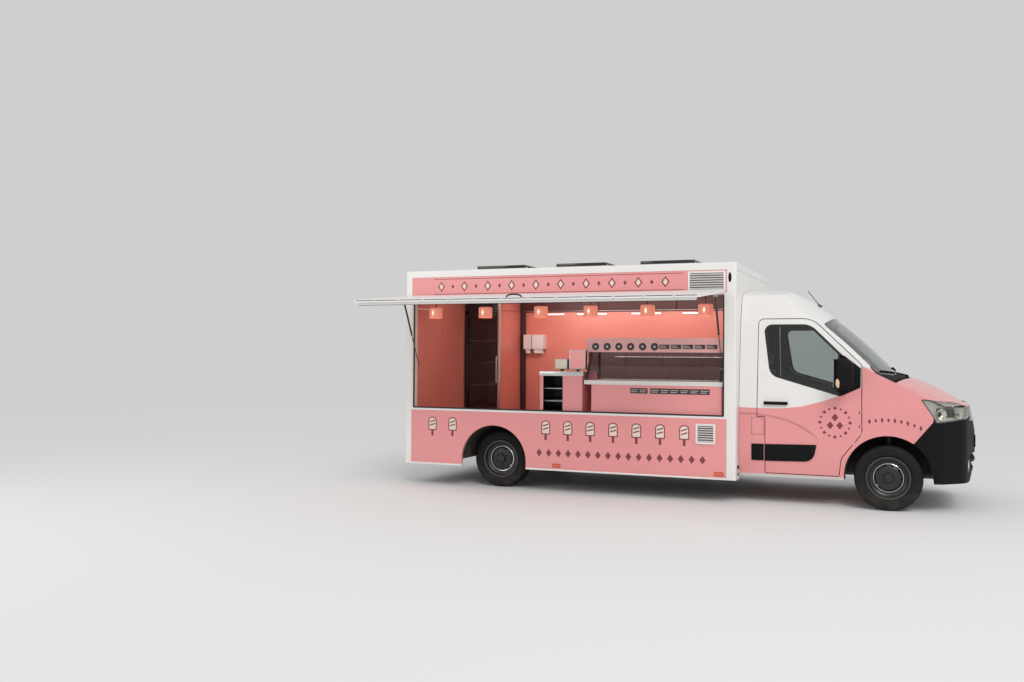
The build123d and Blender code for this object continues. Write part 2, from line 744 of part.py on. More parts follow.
# Rear axle: a twist beam on pads under the side members, with trailing arms
BEAM_X = REAR_AXLE + 206
BEAM_Z = 245
with BuildPart() as rear_axle:
    rod((BEAM_X, -740, BEAM_Z), (BEAM_X, 740, BEAM_Z), 50)
    for side in (-1, 1):
        solid_box((BEAM_X - 40, BEAM_X + 40), (side * RAIL_Y - 30, side * RAIL_Y + 30), (BEAM_Z, RAIL_BOTTOM - SEAT))
        with BuildSketch(Plane.XZ.offset(-span(side, 680, 720)[1])):
            arm = [
                (REAR_AXLE - 45, TYRE_RADIUS - 45, 30),
                (REAR_AXLE - 45, TYRE_RADIUS + 45, 40),
                (REAR_AXLE + 45, TYRE_RADIUS + 45, 40),
                (BEAM_X + 40, BEAM_Z + 40, 30),
                (BEAM_X + 40, BEAM_Z - 40, 30),
            ]
            add(outline(arm))
        extrude(amount=40)
        rod(
            (REAR_AXLE, side * 690, TYRE_RADIUS),
            (REAR_AXLE, side * (REAR_TRACK / 2 + SPINDLE_END), TYRE_RADIUS),
            SPINDLE_RADIUS,
        )
save(rear_axle.part, "rear_axle")

# Wheels. Section columns: distance outwards from the middle plane, radius, corner radius.
HALF_TYRE = TYRE_WIDTH / 2
HALF_RIM = 100
FLANGE = 6
TYRE_SECTION = [
    (HALF_RIM - FLANGE - SEAT, RIM_RADIUS + SEAT, 0),
    (HALF_RIM - FLANGE - SEAT, RIM_RADIUS + 16, 6),
    (HALF_TYRE, RIM_RADIUS + 50, 40),
    (HALF_TYRE - 8, TYRE_RADIUS - 16, 14),
    (HALF_TYRE - 26, TYRE_RADIUS, 30),
]
TYRE_CAVITY = [
    (HALF_TYRE - 34, TYRE_RADIUS - 14, 20),
    (HALF_TYRE - 14, RIM_RADIUS + 60, 30),
    (HALF_RIM - FLANGE - 16, RIM_RADIUS + 14, 0),
    (HALF_RIM - FLANGE - 16, RIM_RADIUS + SEAT, 0),
]
RIM_SECTION = [
    (-HALF_RIM, RIM_RADIUS + 12, 0),
    (FLANGE - HALF_RIM, RIM_RADIUS + 12, 0),
    (FLANGE - HALF_RIM, RIM_RADIUS, 0),
    (HALF_RIM - FLANGE, RIM_RADIUS, 0),
    (HALF_RIM - FLANGE, RIM_RADIUS + 12, 0),
    (HALF_RIM, RIM_RADIUS + 12, 0),
    (HALF_RIM, RIM_RADIUS - RIM_WALL, 0),
    (66, RIM_RADIUS - RIM_WALL, 20),
    (44, 160, 20),
    (72, 118, 20),
    (80, 70, 20),
    (80, 0, 0),
    (SPINDLE_END + 6, 0, 0),
    (SPINDLE_END + 6, SPINDLE_RADIUS + SPINDLE_PLAY, 0),
    (-30, SPINDLE_RADIUS + SPINDLE_PLAY, 0),
    (-30, 60, 0),
    (50, 62, 0),
    (58, 108, 10),
    (30, 160, 20),
    (44, RIM_RADIUS - RIM_WALL, 12),
    (-HALF_RIM, RIM_RADIUS - RIM_WALL, 0),
]


def turned(centre, side, section):
    """A ring or disc turned about a wheel's axle from its section."""
    with BuildPart() as ring:
        with BuildSketch(Plane(origin=centre, x_dir=(0, side, 0), z_dir=(side, 0, 0))):
            add(outline(section))
        revolve(axis=Axis(centre, (0, 1, 0)))
    return ring.part


both_sides = TYRE_SECTION + [(-d, r, c) for d, r, c in reversed(TYRE_SECTION)]
cavity = [(-d, r, c) for d, r, c in reversed(TYRE_CAVITY)] + TYRE_CAVITY
for x, track, end in ((FRONT_AXLE, FRONT_TRACK, "front"), (REAR_AXLE, REAR_TRACK, "rear")):
    for side, hand in ((1, "left"), (-1, "right")):
        centre = (x, side * track / 2, TYRE_RADIUS)
        with BuildPart() as tyre:
            add(turned(centre, side, both_sides))
            add(turned(centre, side, cavity), mode=Mode.SUBTRACT)
        save(tyre.part, f"tyre_{end}_{hand}")
        with BuildPart() as rim:
            add(turned(centre, side, RIM_SECTION))
            with Locations(Plane(origin=centre, x_dir=(1, 0, 0), z_dir=(0, 1, 0))):
                with PolarLocations(134, 10):
                    Cylinder(13, 3 * HALF_RIM, mode=Mode.SUBTRACT)
        save(rim.part, f"rim_{end}_{hand}")

# Arch liners over all four wheels
REAR_ARCH_RADIUS = 412
REAR_ARCH_INNER = 728
with BuildPart() as arch_liners:
    for side in (-1, 1):
        for x, z, radius, inner, outer in (
            (FRONT_AXLE, ARCH_HEIGHT, ARCH_RADIUS - SEAT, ARCH_INNER + SEAT, 968),
            (REAR_AXLE, TYRE_RADIUS, REAR_ARCH_RADIUS, REAR_ARCH_INNER, PANEL_BACK - SEAT),
        ):
            with BuildPart(mode=Mode.PRIVATE) as liner:
                rod((x, side * inner, z), (x, side * outer, z), radius)
                rod((x, side * (inner + LINER), z), (x, side * (outer + 1), z), radius - LINER, Mode.SUBTRACT)
                solid_box((x - 500, x + 500), span(side, inner - 1, outer + 1), (z - 500, z), Mode.SUBTRACT)
                rod((x, side * (inner - 1), z), (x, side * (inner + 2 * LINER), z), 55, Mode.SUBTRACT)
            add(liner.part)
save(arch_liners.part, "arch_liners")

# Box: floor, frame and roof
with BuildPart() as wheel_cuts:
    for side in (-1, 1):
        rod((REAR_AXLE, side * REAR_ARCH_INNER, TYRE_RADIUS), (REAR_AXLE, side * (HALF_BOX + 1), TYRE_RADIUS), REAR_ARCH_RADIUS)
        solid_box(
            (REAR_AXLE - REAR_ARCH_RADIUS, REAR_AXLE + REAR_ARCH_RADIUS),
            span(side, REAR_ARCH_INNER, HALF_BOX + 1),
            (BOX_BOTTOM - 1, TYRE_RADIUS),
        )
FRAME_LOW = BOX_BOTTOM + SILL_RAIL
FRAME_HIGH = BOX_TOP - ROOF_RAIL
with BuildPart() as box_floor:
    solid_box(
        (BOX_REAR + WALL + SEAT, BOX_FRONT - WALL - SEAT),
        (-PANEL_BACK + SEAT, PANEL_BACK - SEAT),
        (FLOOR_BOTTOM + SEAT, FLOOR_TOP),
    )
    for side in (-1, 1):
        solid_box(
            (REAR_AXLE - REAR_ARCH_RADIUS - 1, REAR_AXLE + REAR_ARCH_RADIUS + 1),
            span(side, REAR_ARCH_INNER - 1, HALF_BOX),
            (FLOOR_BOTTOM - 1, FLOOR_TOP + 1),
            Mode.SUBTRACT,
        )
save(box_floor.part, "box_floor")
with BuildPart() as box_frame:
    solid_box((BOX_REAR, BOX_FRONT), (-HALF_BOX, HALF_BOX), (BOX_BOTTOM, BOX_TOP))
    fillet(box_frame.edges().filter_by(Axis.Z), 24)
    fillet(box_frame.faces().sort_by(Axis.Z)[-1].edges(), 16)
    solid_box(
        (BOX_REAR + WALL, BOX_FRONT - WALL), (-PANEL_BACK, PANEL_BACK), (BOX_BOTTOM - 1, CEILING), Mode.SUBTRACT
    )
    solid_box((POST_REAR, POST_FRONT), (-HALF_BOX - 1, HALF_BOX + 1), (FRAME_LOW, FRAME_HIGH), Mode.SUBTRACT)
    solid_box(
        (BOX_REAR - 1, BOX_FRONT + 1), (POST - HALF_BOX, HALF_BOX - POST), (FRAME_LOW, FRAME_HIGH), Mode.SUBTRACT
    )
    solid_box(
        (BOX_REAR + ROOF_RAIL, BOX_FRONT - ROOF_RAIL),
        (ROOF_RAIL - HALF_BOX, HALF_BOX - ROOF_RAIL),
        (CEILING - 1, BOX_TOP + 1),
        Mode.SUBTRACT,
    )
    add(wheel_cuts.part, mode=Mode.SUBTRACT)
save(box_frame.part, "box_frame")
with BuildPart() as box_roof:
    solid_box(
        (BOX_REAR + ROOF_RAIL + SEAT, BOX_FRONT - ROOF_RAIL - SEAT),
        (ROOF_RAIL + SEAT - HALF_BOX, HALF_BOX - ROOF_RAIL - SEAT),
        (CEILING, BOX_TOP - FRAME_PROUD),
    )
save(box_roof.part, "box_roof")

# Box walls
SIDE_X = (POST_REAR + SEAT, POST_FRONT - SEAT)
RIGHT_Y = (-PANEL_FACE, -PANEL_BACK)
END_Y = (POST + SEAT - HALF_BOX, HALF_BOX - POST - SEAT)
PANEL_Z = (FRAME_LOW + SEAT, FRAME_HIGH - SEAT)
with BuildPart() as left_wall:
    solid_box(SIDE_X, (PANEL_BACK, PANEL_FACE), PANEL_Z)
    add(wheel_cuts.part, mode=Mode.SUBTRACT)
save(left_wall.part, "left_wall")
with BuildPart() as side_panel:
    solid_box(SIDE_X, RIGHT_Y, (PANEL_Z[0], HATCH_BOTTOM - HATCH_SILL - SEAT))
    add(wheel_cuts.part, mode=Mode.SUBTRACT)
save(side_panel.part, "side_panel")
with BuildPart() as fascia:
    solid_box(SIDE_X, RIGHT_Y, (HATCH_TOP + HEADER + SEAT, PANEL_Z[1]))
save(fascia.part, "fascia")
with BuildPart() as front_wall:
    solid_box((BOX_FRONT - WALL, BOX_FRONT - FRAME_PROUD), END_Y, (FLOOR_BOTTOM + SEAT, PANEL_Z[1]))
save(front_wall.part, "front_wall")

# Hatch frame with its piano hinge and the struts' lower pins
STRUT_XS = (HATCH_REAR + STRUT_INSET, HATCH_FRONT - STRUT_INSET)
HINGE_CENTRES = [HATCH_REAR + 60 + i * (HATCH_FRONT - HATCH_REAR - 120) / 4 for i in range(5)]
HINGE_HALF = 30
JAMB_INNER = -1100
with BuildPart() as hatch_frame:
    solid_box(SIDE_X, RIGHT_Y, (HATCH_BOTTOM - HATCH_SILL, HATCH_TOP + HEADER))
    solid_box((HATCH_REAR, HATCH_FRONT), (-HALF_BOX, JAMB_INNER), (HATCH_BOTTOM, HATCH_TOP), Mode.SUBTRACT)
    for low, high in ((SIDE_X[0], HATCH_REAR), (HATCH_FRONT, SIDE_X[1])):
        solid_box((low, high), (-PANEL_BACK, JAMB_INNER), (HATCH_BOTTOM - HATCH_SILL, HATCH_TOP + HEADER))
    for x, edge in zip(STRUT_XS, (HATCH_REAR, HATCH_FRONT)):
        tip = x + STRUT_EYE_WIDTH * (1 if edge < x else -1)
        rod((edge, STRUT_PIN_Y, STRUT_PIN_Z), (tip, STRUT_PIN_Y, STRUT_PIN_Z), STRUT_PIN_RADIUS)
    for x in HINGE_CENTRES:
        solid_box((x - HINGE_HALF, x + HINGE_HALF), (FLAP_AXIS_Y, -PANEL_BACK), (FLAP_AXIS_Z - 5, FLAP_AXIS_Z + 3))
        rod((x - HINGE_HALF, FLAP_AXIS_Y, FLAP_AXIS_Z), (x + HINGE_HALF, FLAP_AXIS_Y, FLAP_AXIS_Z), HINGE_KNUCKLE)
        rod(
            (x - HINGE_HALF - 1, FLAP_AXIS_Y, FLAP_AXIS_Z),
            (x + HINGE_HALF + 1, FLAP_AXIS_Y, FLAP_AXIS_Z),
            HINGE_ROD + HINGE_PLAY,
            Mode.SUBTRACT,
        )
save(hatch_frame.part, "hatch_frame")

# Hatch flap, held open. Its plane runs outwards from the hinge and droops a little.
droop = radians(FLAP_DROOP)
FLAP_OUT = Vector(0, -cos(droop), -sin(droop))
FLAP_UP = Vector(0, -sin(droop), cos(droop))
flap_plane = Plane(origin=(0, FLAP_AXIS_Y, FLAP_AXIS_Z), x_dir=(1, 0, 0), z_dir=FLAP_UP)
FLAP_REAR = HATCH_REAR - FLAP_OVERLAP
FLAP_FRONT = HATCH_FRONT + FLAP_OVERLAP
strut_pins = [(x, FLAP_AXIS_Y, FLAP_AXIS_Z) for x in STRUT_XS]
STRUT_TOPS = [Vector(*pin) + FLAP_OUT * STRUT_REACH - FLAP_UP * STRUT_DROP for pin in strut_pins]
with BuildPart() as hatch_flap:
    with BuildSketch(flap_plane):
        with Locations(((FLAP_REAR + FLAP_FRONT) / 2, -(FLAP_PLATE_START + FLAP_LENGTH) / 2)):
            Rectangle(FLAP_FRONT - FLAP_REAR, FLAP_LENGTH - FLAP_PLATE_START)
    extrude(amount=FLAP_THICKNESS)
    rod((HATCH_REAR, FLAP_AXIS_Y, FLAP_AXIS_Z), (HATCH_FRONT, FLAP_AXIS_Y, FLAP_AXIS_Z), HINGE_ROD)
    for low, high in zip(HINGE_CENTRES[:-1], HINGE_CENTRES[1:]):
        with BuildSketch(flap_plane):
            with Locations(((low + high) / 2, -(FLAP_PLATE_START + 4) / 2)):
                Rectangle(high - low - 2 * HINGE_HALF - 12, FLAP_PLATE_START + 4)
        extrude(amount=6)
    for top, inward in zip(STRUT_TOPS, (1, -1)):
        for offset_x in (-13, 13):
            x = top.X + offset_x
            foot = Vector(x, FLAP_AXIS_Y, FLAP_AXIS_Z) + FLAP_OUT * STRUT_REACH
            with Locations(Plane(origin=foot - FLAP_UP * (STRUT_DROP / 2 - 1), x_dir=(1, 0, 0), z_dir=FLAP_UP)):
                Box(6, 30, STRUT_DROP + 2)
            rod((x - 3, top.Y, top.Z), (x + 3, top.Y, top.Z), 15)
        rod((top.X - 16, top.Y, top.Z), (top.X + 16, top.Y, top.Z), STRUT_PIN_RADIUS)
save(hatch_flap.part, "hatch_flap")

# Gas struts: cylinders hung on the flap, with rods down to the jambs' pins
for x, top, end in zip(STRUT_XS, STRUT_TOPS, ("rear", "front")):
    foot = Vector(x, STRUT_PIN_Y, STRUT_PIN_Z)
    down = (foot - top).normalized()
    with BuildPart() as strut_cylinder:
        rod(top + down * STRUT_NECK, top + down * STRUT_BODY_LENGTH, STRUT_BODY_RADIUS)
        with Locations(Plane(origin=top, z_dir=(1, 0, 0))):
            Cylinder(STRUT_EYE, STRUT_EYE_WIDTH)
        with Locations(Plane(origin=top + down * (STRUT_NECK / 2 + 1), x_dir=(1, 0, 0), z_dir=down)):
            Box(STRUT_EYE_WIDTH, 14, STRUT_NECK + 2)
        rod((x - 20, top.Y, top.Z), (x + 20, top.Y, top.Z), STRUT_PIN_RADIUS + HINGE_PLAY, Mode.SUBTRACT)
        rod(
            top + down * STRUT_BORE_END,
            top + down * (STRUT_BODY_LENGTH + 1),
            STRUT_ROD_RADIUS + HINGE_PLAY,
            Mode.SUBTRACT,
        )
    save(strut_cylinder.part, f"strut_cylinder_{end}")
    with BuildPart() as strut_rod:
        rod(foot, foot - down * STRUT_ROD_LENGTH, STRUT_ROD_RADIUS)
        with Locations(Plane(origin=foot, z_dir=(1, 0, 0))):
            Cylinder(STRUT_EYE, STRUT_EYE_WIDTH)
        rod((x - 20, foot.Y, foot.Z), (x + 20, foot.Y, foot.Z), STRUT_PIN_RADIUS + HINGE_PLAY, Mode.SUBTRACT)
    save(strut_rod.part, f"strut_rod_{end}")

# Rear wall and its door, hung on three pins outside
DOOR_RIGHT = -1000
DOOR_LEFT = -250
DOOR_BOTTOM = 306
DOOR_TOP = 2150
REAR_GAP = 6
REAR_AXIS_X = BOX_REAR - 9
REAR_AXIS_Y = DOOR_RIGHT - 3
REAR_PIN = 4
REAR_KNUCKLE = 8
REAR_HINGE_ZS = (500, 1220, 1940)
with BuildPart() as rear_wall:
    solid_box((BOX_REAR + FRAME_PROUD, BOX_REAR + WALL), END_Y, PANEL_Z)
    solid_box(
        (BOX_REAR, BOX_REAR + WALL + 1), (DOOR_RIGHT, DOOR_LEFT), (DOOR_BOTTOM, DOOR_TOP), Mode.SUBTRACT
    )
    for z in REAR_HINGE_ZS:
        for low in (z - 50, z + 20):
            rod((REAR_AXIS_X, REAR_AXIS_Y, low), (REAR_AXIS_X, REAR_AXIS_Y, low + 30), REAR_KNUCKLE)
            solid_box(
                (REAR_AXIS_X - 4, BOX_REAR + FRAME_PROUD + 4),
                (REAR_AXIS_Y - 14, REAR_AXIS_Y),
                (low, low + 30),
            )
            rod(
                (REAR_AXIS_X, REAR_AXIS_Y, low - 1),
                (REAR_AXIS_X, REAR_AXIS_Y, low + 31),
                REAR_PIN + HINGE_PLAY,
                Mode.SUBTRACT,
            )
save(rear_wall.part, "rear_wall")
with BuildPart() as rear_door:
    solid_box(
        (BOX_REAR + FRAME_PROUD, BOX_REAR + WALL),
        (DOOR_RIGHT + REAR_GAP, DOOR_LEFT - REAR_GAP),
        (DOOR_BOTTOM + REAR_GAP, DOOR_TOP - REAR_GAP),
    )
    for z in REAR_HINGE_ZS:
        rod((REAR_AXIS_X, REAR_AXIS_Y, z - 14), (REAR_AXIS_X, REAR_AXIS_Y, z + 14), REAR_KNUCKLE)
        solid_box((REAR_AXIS_X - 4, BOX_REAR - 1), (REAR_AXIS_Y + 2, REAR_AXIS_Y + 24), (z - 14, z + 14))
        solid_box(
            (REAR_AXIS_X, BOX_REAR + FRAME_PROUD + 4),
            (REAR_AXIS_Y + REAR_GAP + 5, REAR_AXIS_Y + 24),
            (z - 14, z + 14),
        )
        rod((REAR_AXIS_X, REAR_AXIS_Y, z - 54), (REAR_AXIS_X, REAR_AXIS_Y, z + 54), REAR_PIN)
save(rear_door.part, "rear_door")

# Vents in the right side. Columns: low and high X, low and high Z, number of slats.
VENTS = [(136, 528, 2278, 2489, 6), (217, 442, 629, 846, 6)]
VENT_PROUD = 14
with BuildPart() as louvre_vents:
    for x0, x1, z0, z1, slats in VENTS:
        solid_box((x0, x1), (-PANEL_FACE - VENT_PROUD, -PANEL_FACE), (z0, z1))
        solid_box(
            (x0 + 22, x1 - 22), (-PANEL_FACE - VENT_PROUD - 1, -PANEL_FACE - 3), (z0 + 20, z1 - 20), Mode.SUBTRACT
        )
        pitch = (z1 - z0 - 40) / slats
        for i in range(slats):
            z = z0 + 20 + i * pitch
            slat = [(-PANEL_FACE - 1, z + pitch - 1, 0), (-PANEL_FACE - 12, z + 4, 0), (-PANEL_FACE - 1, z + 4, 0)]
            with BuildSketch(Plane.YZ.offset(x0 + 20)):
                add(outline(slat))
            extrude(amount=x1 - x0 - 40)
save(louvre_vents.part, "louvre_vents")

# Marker lamps along both sides and tail lamps
with BuildPart() as side_markers:
    for side in (-1, 1):
        for x in (476, -1378):
            solid_box((x - 52, x + 52), span(side, PANEL_FACE, PANEL_FACE + 14), (292, 334))
save(side_markers.part, "side_markers")
with BuildPart() as tail_lamps:
    for side in (-1, 1):
        solid_box((BOX_REAR - 14, BOX_REAR + FRAME_PROUD), span(side, 1030, 1106), (560, 860))
save(tail_lamps.part, "tail_lamps")

# Solar panels on rails over the roof. Columns: low and high X.
SOLAR_XS = [(-2569, -1938), (-1534, -918), (-505, 118)]
SOLAR_HALF = 800
SOLAR_TOP = BOX_TOP + 77
with BuildPart() as solar_panels:
    for low, high in SOLAR_XS:
        solid_box((low, high), (-SOLAR_HALF, SOLAR_HALF), (SOLAR_TOP - 35, SOLAR_TOP))
        for y in (-SOLAR_HALF + 30, 0, SOLAR_HALF - 30):
            solid_box((low - 20, high + 20), (y - 20, y + 20), (BOX_TOP - FRAME_PROUD, SOLAR_TOP - 33))
save(solar_panels.part, "solar_panels")

# Display freezer with its open well, steel rim, front glass and overhead shelf
FREEZER_TOP = 1250
RIM_TOP = 1297
WELL = ((-930, 450), (-1100, -500))
with BuildPart() as display_freezer:
    solid_box((-975, 495), (-1150, -450), (FLOOR_TOP, FREEZER_TOP))
    solid_box(WELL[0], WELL[1], (900, FREEZER_TOP + 1), Mode.SUBTRACT)
save(display_freezer.part, "display_freezer")
with BuildPart() as freezer_rim:
    solid_box((-1060, 505), (-1155, -440), (FREEZER_TOP, RIM_TOP))
    solid_box(WELL[0], WELL[1], (FREEZER_TOP - 1, RIM_TOP + 1), Mode.SUBTRACT)
save(freezer_rim.part, "freezer_rim")
with BuildPart() as display_glass:
    glass_section = [(-1140, RIM_TOP, 0), (-1132, RIM_TOP, 0), (-1032, 1460, 0), (-1040, 1460, 0)]
    with BuildSketch(Plane.YZ.offset(-1026)):
        add(outline(glass_section))
    extrude(amount=1490)
save(display_glass.part, "display_glass")
SHELF_BOTTOM = 1616
with BuildPart() as overhead_shelf:
    solid_box((-1100, 496), (-950, -620), (SHELF_BOTTOM, 1779))
    solid_box((-1080, 476), (-930, -619), (SHELF_BOTTOM + 20, 1760), Mode.SUBTRACT)
    for x in (-1052, 468):
        post = [(-1150, RIM_TOP, 0), (-1118, RIM_TOP, 0), (-918, SHELF_BOTTOM + 5, 0), (-949, SHELF_BOTTOM + 5, 0)]
        with BuildSketch(Plane.YZ.offset(x)):
            add(outline(post))
        extrude(amount=25)
        solid_box((x, x + 25), (-660, -630), (RIM_TOP, SHELF_BOTTOM + 5))
save(overhead_shelf.part, "overhead_shelf")

# Service counter with two till screens, the upright fridge and the wall dispensers
with BuildPart() as service_counter:
    solid_box((-1600, -1085), (-1150, -600), (FLOOR_TOP, 1383))
    solid_box((-1560, -1320), (-1151, -640), (900, 1340), Mode.SUBTRACT)
save(service_counter.part, "service_counter")
with BuildPart() as till_screens:
    for x0, x1, top in ((-1290, -1090, 1638), (-1460, -1312, 1533)):
        solid_box((x0, x1), (-1020, -960), (1415, top))
        solid_box(((x0 + x1) / 2 - 50, (x0 + x1) / 2 + 50), (-1040, -920), (1383, 1391))
        solid_box(((x0 + x1) / 2 - 15, (x0 + x1) / 2 + 15), (-1005, -975), (1391, 1420))
save(till_screens.part, "till_screens")
with BuildPart() as upright_fridge:
    solid_box((-3290, -2780), (400, 1150), (FLOOR_TOP, 2180))
    solid_box((-3250, -2820), (399, 1110), (560, 2120), Mode.SUBTRACT)
    for z in (860, 1160, 1460, 1760):
        solid_box((-3251, -2819), (430, 1111), (z, z + 12))
save(upright_fridge.part, "upright_fridge")
with BuildPart() as fridge_glass:
    solid_box((-3250 + GLASS_PLAY, -2820 - GLASS_PLAY), (406, 412), (560 + GLASS_PLAY, 2120 - GLASS_PLAY))
save(fridge_glass.part, "fridge_glass")
with BuildPart() as dispensers:
    for x0, x1 in ((-2693, -2582), (-2568, -2392)):
        solid_box((x0, x1), (1040, PANEL_BACK), (1659, 1860))
        solid_box((x0 + 25, x1 - 25), (1060, 1110), (1600, 1662))
save(dispensers.part, "dispensers")

# Pendant lamps over the hatch, hung from the roof
PENDANT_XS = (-3032, -2365, -1650, -1037, -366, 287)
with BuildPart() as pendant_lamps:
    for x in PENDANT_XS:
        rod((x, -1000, 2020), (x, -1000, 2150), 82)
        rod((x, -1000, 2140), (x, -1000, CEILING), 6)
save(pendant_lamps.part, "pendant_lamps")
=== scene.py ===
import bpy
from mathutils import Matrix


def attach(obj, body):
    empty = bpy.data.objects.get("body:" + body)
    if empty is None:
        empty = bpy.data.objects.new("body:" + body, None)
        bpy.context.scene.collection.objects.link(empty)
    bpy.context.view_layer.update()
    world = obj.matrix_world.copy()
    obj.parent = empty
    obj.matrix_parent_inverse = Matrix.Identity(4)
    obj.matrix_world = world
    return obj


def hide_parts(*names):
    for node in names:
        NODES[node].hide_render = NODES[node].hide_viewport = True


bl_info = {
    "name": "Ice cream truck",
    "version": (1, 0, 0),
    "blender": (4, 5, 0),
    "location": "View3D > Sidebar > Ice cream truck",
    "description": "Finishes, fittings and studio of an ice cream truck with an open serving hatch",
    "category": "Object",
}

from math import cos, pi, radians, sin

import bmesh
import bpy
from mathutils import Matrix, Vector
from mathutils.bvhtree import BVHTree

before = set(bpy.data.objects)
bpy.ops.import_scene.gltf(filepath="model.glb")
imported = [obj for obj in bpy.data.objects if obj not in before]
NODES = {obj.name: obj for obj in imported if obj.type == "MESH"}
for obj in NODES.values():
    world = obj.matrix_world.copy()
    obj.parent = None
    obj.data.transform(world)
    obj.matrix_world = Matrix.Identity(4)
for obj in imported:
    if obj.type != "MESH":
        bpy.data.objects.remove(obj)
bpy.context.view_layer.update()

# Places on the truck, in metres
FRONT_AXLE = 2.166
AXLE_HEIGHT = 0.335
ARCH_HEIGHT = 0.34  # middle of the front wheel arch
ARCH_RADIUS = 0.432
NOSE_START = 2.12  # ahead of it the shell is the engine bay's
CAB_MIDDLE = (1.5, 0.0, 1.3)  # faces that look towards a middle are inner ones
NOSE_MIDDLE = (2.45, 0.0, 0.75)
BOX_REAR = -3.344
PANEL_FACE = 1.196  # outer and inner face of the side panels
PANEL_BACK = 1.161
PANEL_END = 0.556
CEILING = 2.543
FLOOR_TOP = 0.44
HATCH_X = (-3.232, 0.526)

# The open flap: the Y and Z of its hinge, how far it hangs below level, and distances out from the hinge
FLAP_AXIS = (-1.208, 2.262)
FLAP_DROOP = radians(5.3)
FLAP_EDGE = 1.3418
FLAP_HANDLE = 1.330
FLAP_LIP = 1.297
LIP_X = (-3.212, 0.506)

SIDES = ((1, "left"), (-1, "right"))

# Rays to the truck's skin start this far to the side and this far forward
BESIDE = 1.6
AHEAD = 4.0


# ---------------------------------------------------------------- node trees


class Tree:
    """Adds and wires the nodes of one material or group."""

    def __init__(self, tree):
        self.tree = tree
        self.place_node = None

    def node(self, kind, sockets=None, **settings):
        node = self.tree.nodes.new("ShaderNode" + kind)
        for name, value in settings.items():
            setattr(node, name, value)
        for key, value in (sockets or {}).items():
            self.feed(node.inputs[key], value)
        return node

    def feed(self, socket, value):
        if isinstance(value, bpy.types.NodeSocket):
            self.tree.links.new(value, socket)
        elif hasattr(value, "__len__") and socket.type == "RGBA" and len(value) == 3:
            socket.default_value = (*value, 1.0)
        else:
            socket.default_value = value

    def place(self):
        """Object coordinates, the truck's own metres."""
        if self.place_node is None:
            self.place_node = self.node("TexCoord")
        return self.place_node.outputs["Object"]

    def axes(self):
        return self.node("SeparateXYZ", {0: self.place()}).outputs

    def math(self, operation, first, second=None):
        node = self.node("Math", {0: first}, operation=operation)
        if second is not None:
            self.feed(node.inputs[1], second)
        return node.outputs[0]

    def spread(self, value, low, high, to_low=0.0, to_high=1.0):
        """A value brought from one range to another and held within it."""
        sockets = {"Value": value, "From Min": low, "From Max": high, "To Min": to_low, "To Max": to_high}
        return self.node("MapRange", sockets).outputs[0]

    def mix(self, factor, first, second):
        """Two colours mixed. A mix node's colour sockets are its inputs 6 and 7 and its output 2."""
        node = self.node("Mix", data_type="RGBA")
        self.feed(node.inputs[0], factor)
        self.feed(node.inputs[6], first)
        self.feed(node.inputs[7], second)
        return node.outputs[2]

    def noise(self, scale, detail=2.0, stretch=None):
        vector = self.place()
        if stretch:
            vector = self.node("Mapping", {"Vector": vector, "Scale": stretch}).outputs[0]
        return self.node("TexNoise", {"Vector": vector, "Scale": scale, "Detail": detail}).outputs[0]

    def table(self, value, rows):
        """A height read from rows of position and height, straight between them."""
        low, high = rows[0][0], rows[-1][0]
        bottom = min(z for _, z in rows)
        top = max(z for _, z in rows)
        ramp = self.node("ValToRGB", {0: self.spread(value, low, high)})
        stops = ramp.color_ramp.elements
        stops[0].position = 0.0
        stops[1].position = 1.0
        for x, _ in rows[1:-1]:
            stops.new((x - low) / (high - low))
        for stop, (_, z) in zip(stops, rows):
            grey = (z - bottom) / (top - bottom)
            stop.color = (grey, grey, grey, 1.0)
        height = self.math("MULTIPLY", ramp.outputs[0], top - bottom)
        return self.math("ADD", height, bottom)

    def group(self, tree, **sockets):
        node = self.node("Group", node_tree=tree)
        for key, value in sockets.items():
            self.feed(node.inputs[key.replace("_", " ")], value)
        return node.outputs


def new_group(name, inputs, outputs):
    """An empty shader group. Rows give each socket's name, kind and default."""
    tree = bpy.data.node_groups.new(name, "ShaderNodeTree")
    for label, kind, value in inputs:
        socket = tree.interface.new_socket(label, in_out="INPUT", socket_type="NodeSocket" + kind)
        socket.default_value = value
    for label, kind in outputs:
        tree.interface.new_socket(label, in_out="OUTPUT", socket_type="NodeSocket" + kind)
    entry = tree.nodes.new("NodeGroupInput").outputs
    leave = tree.nodes.new("NodeGroupOutput").inputs
    return Tree(tree), entry, leave


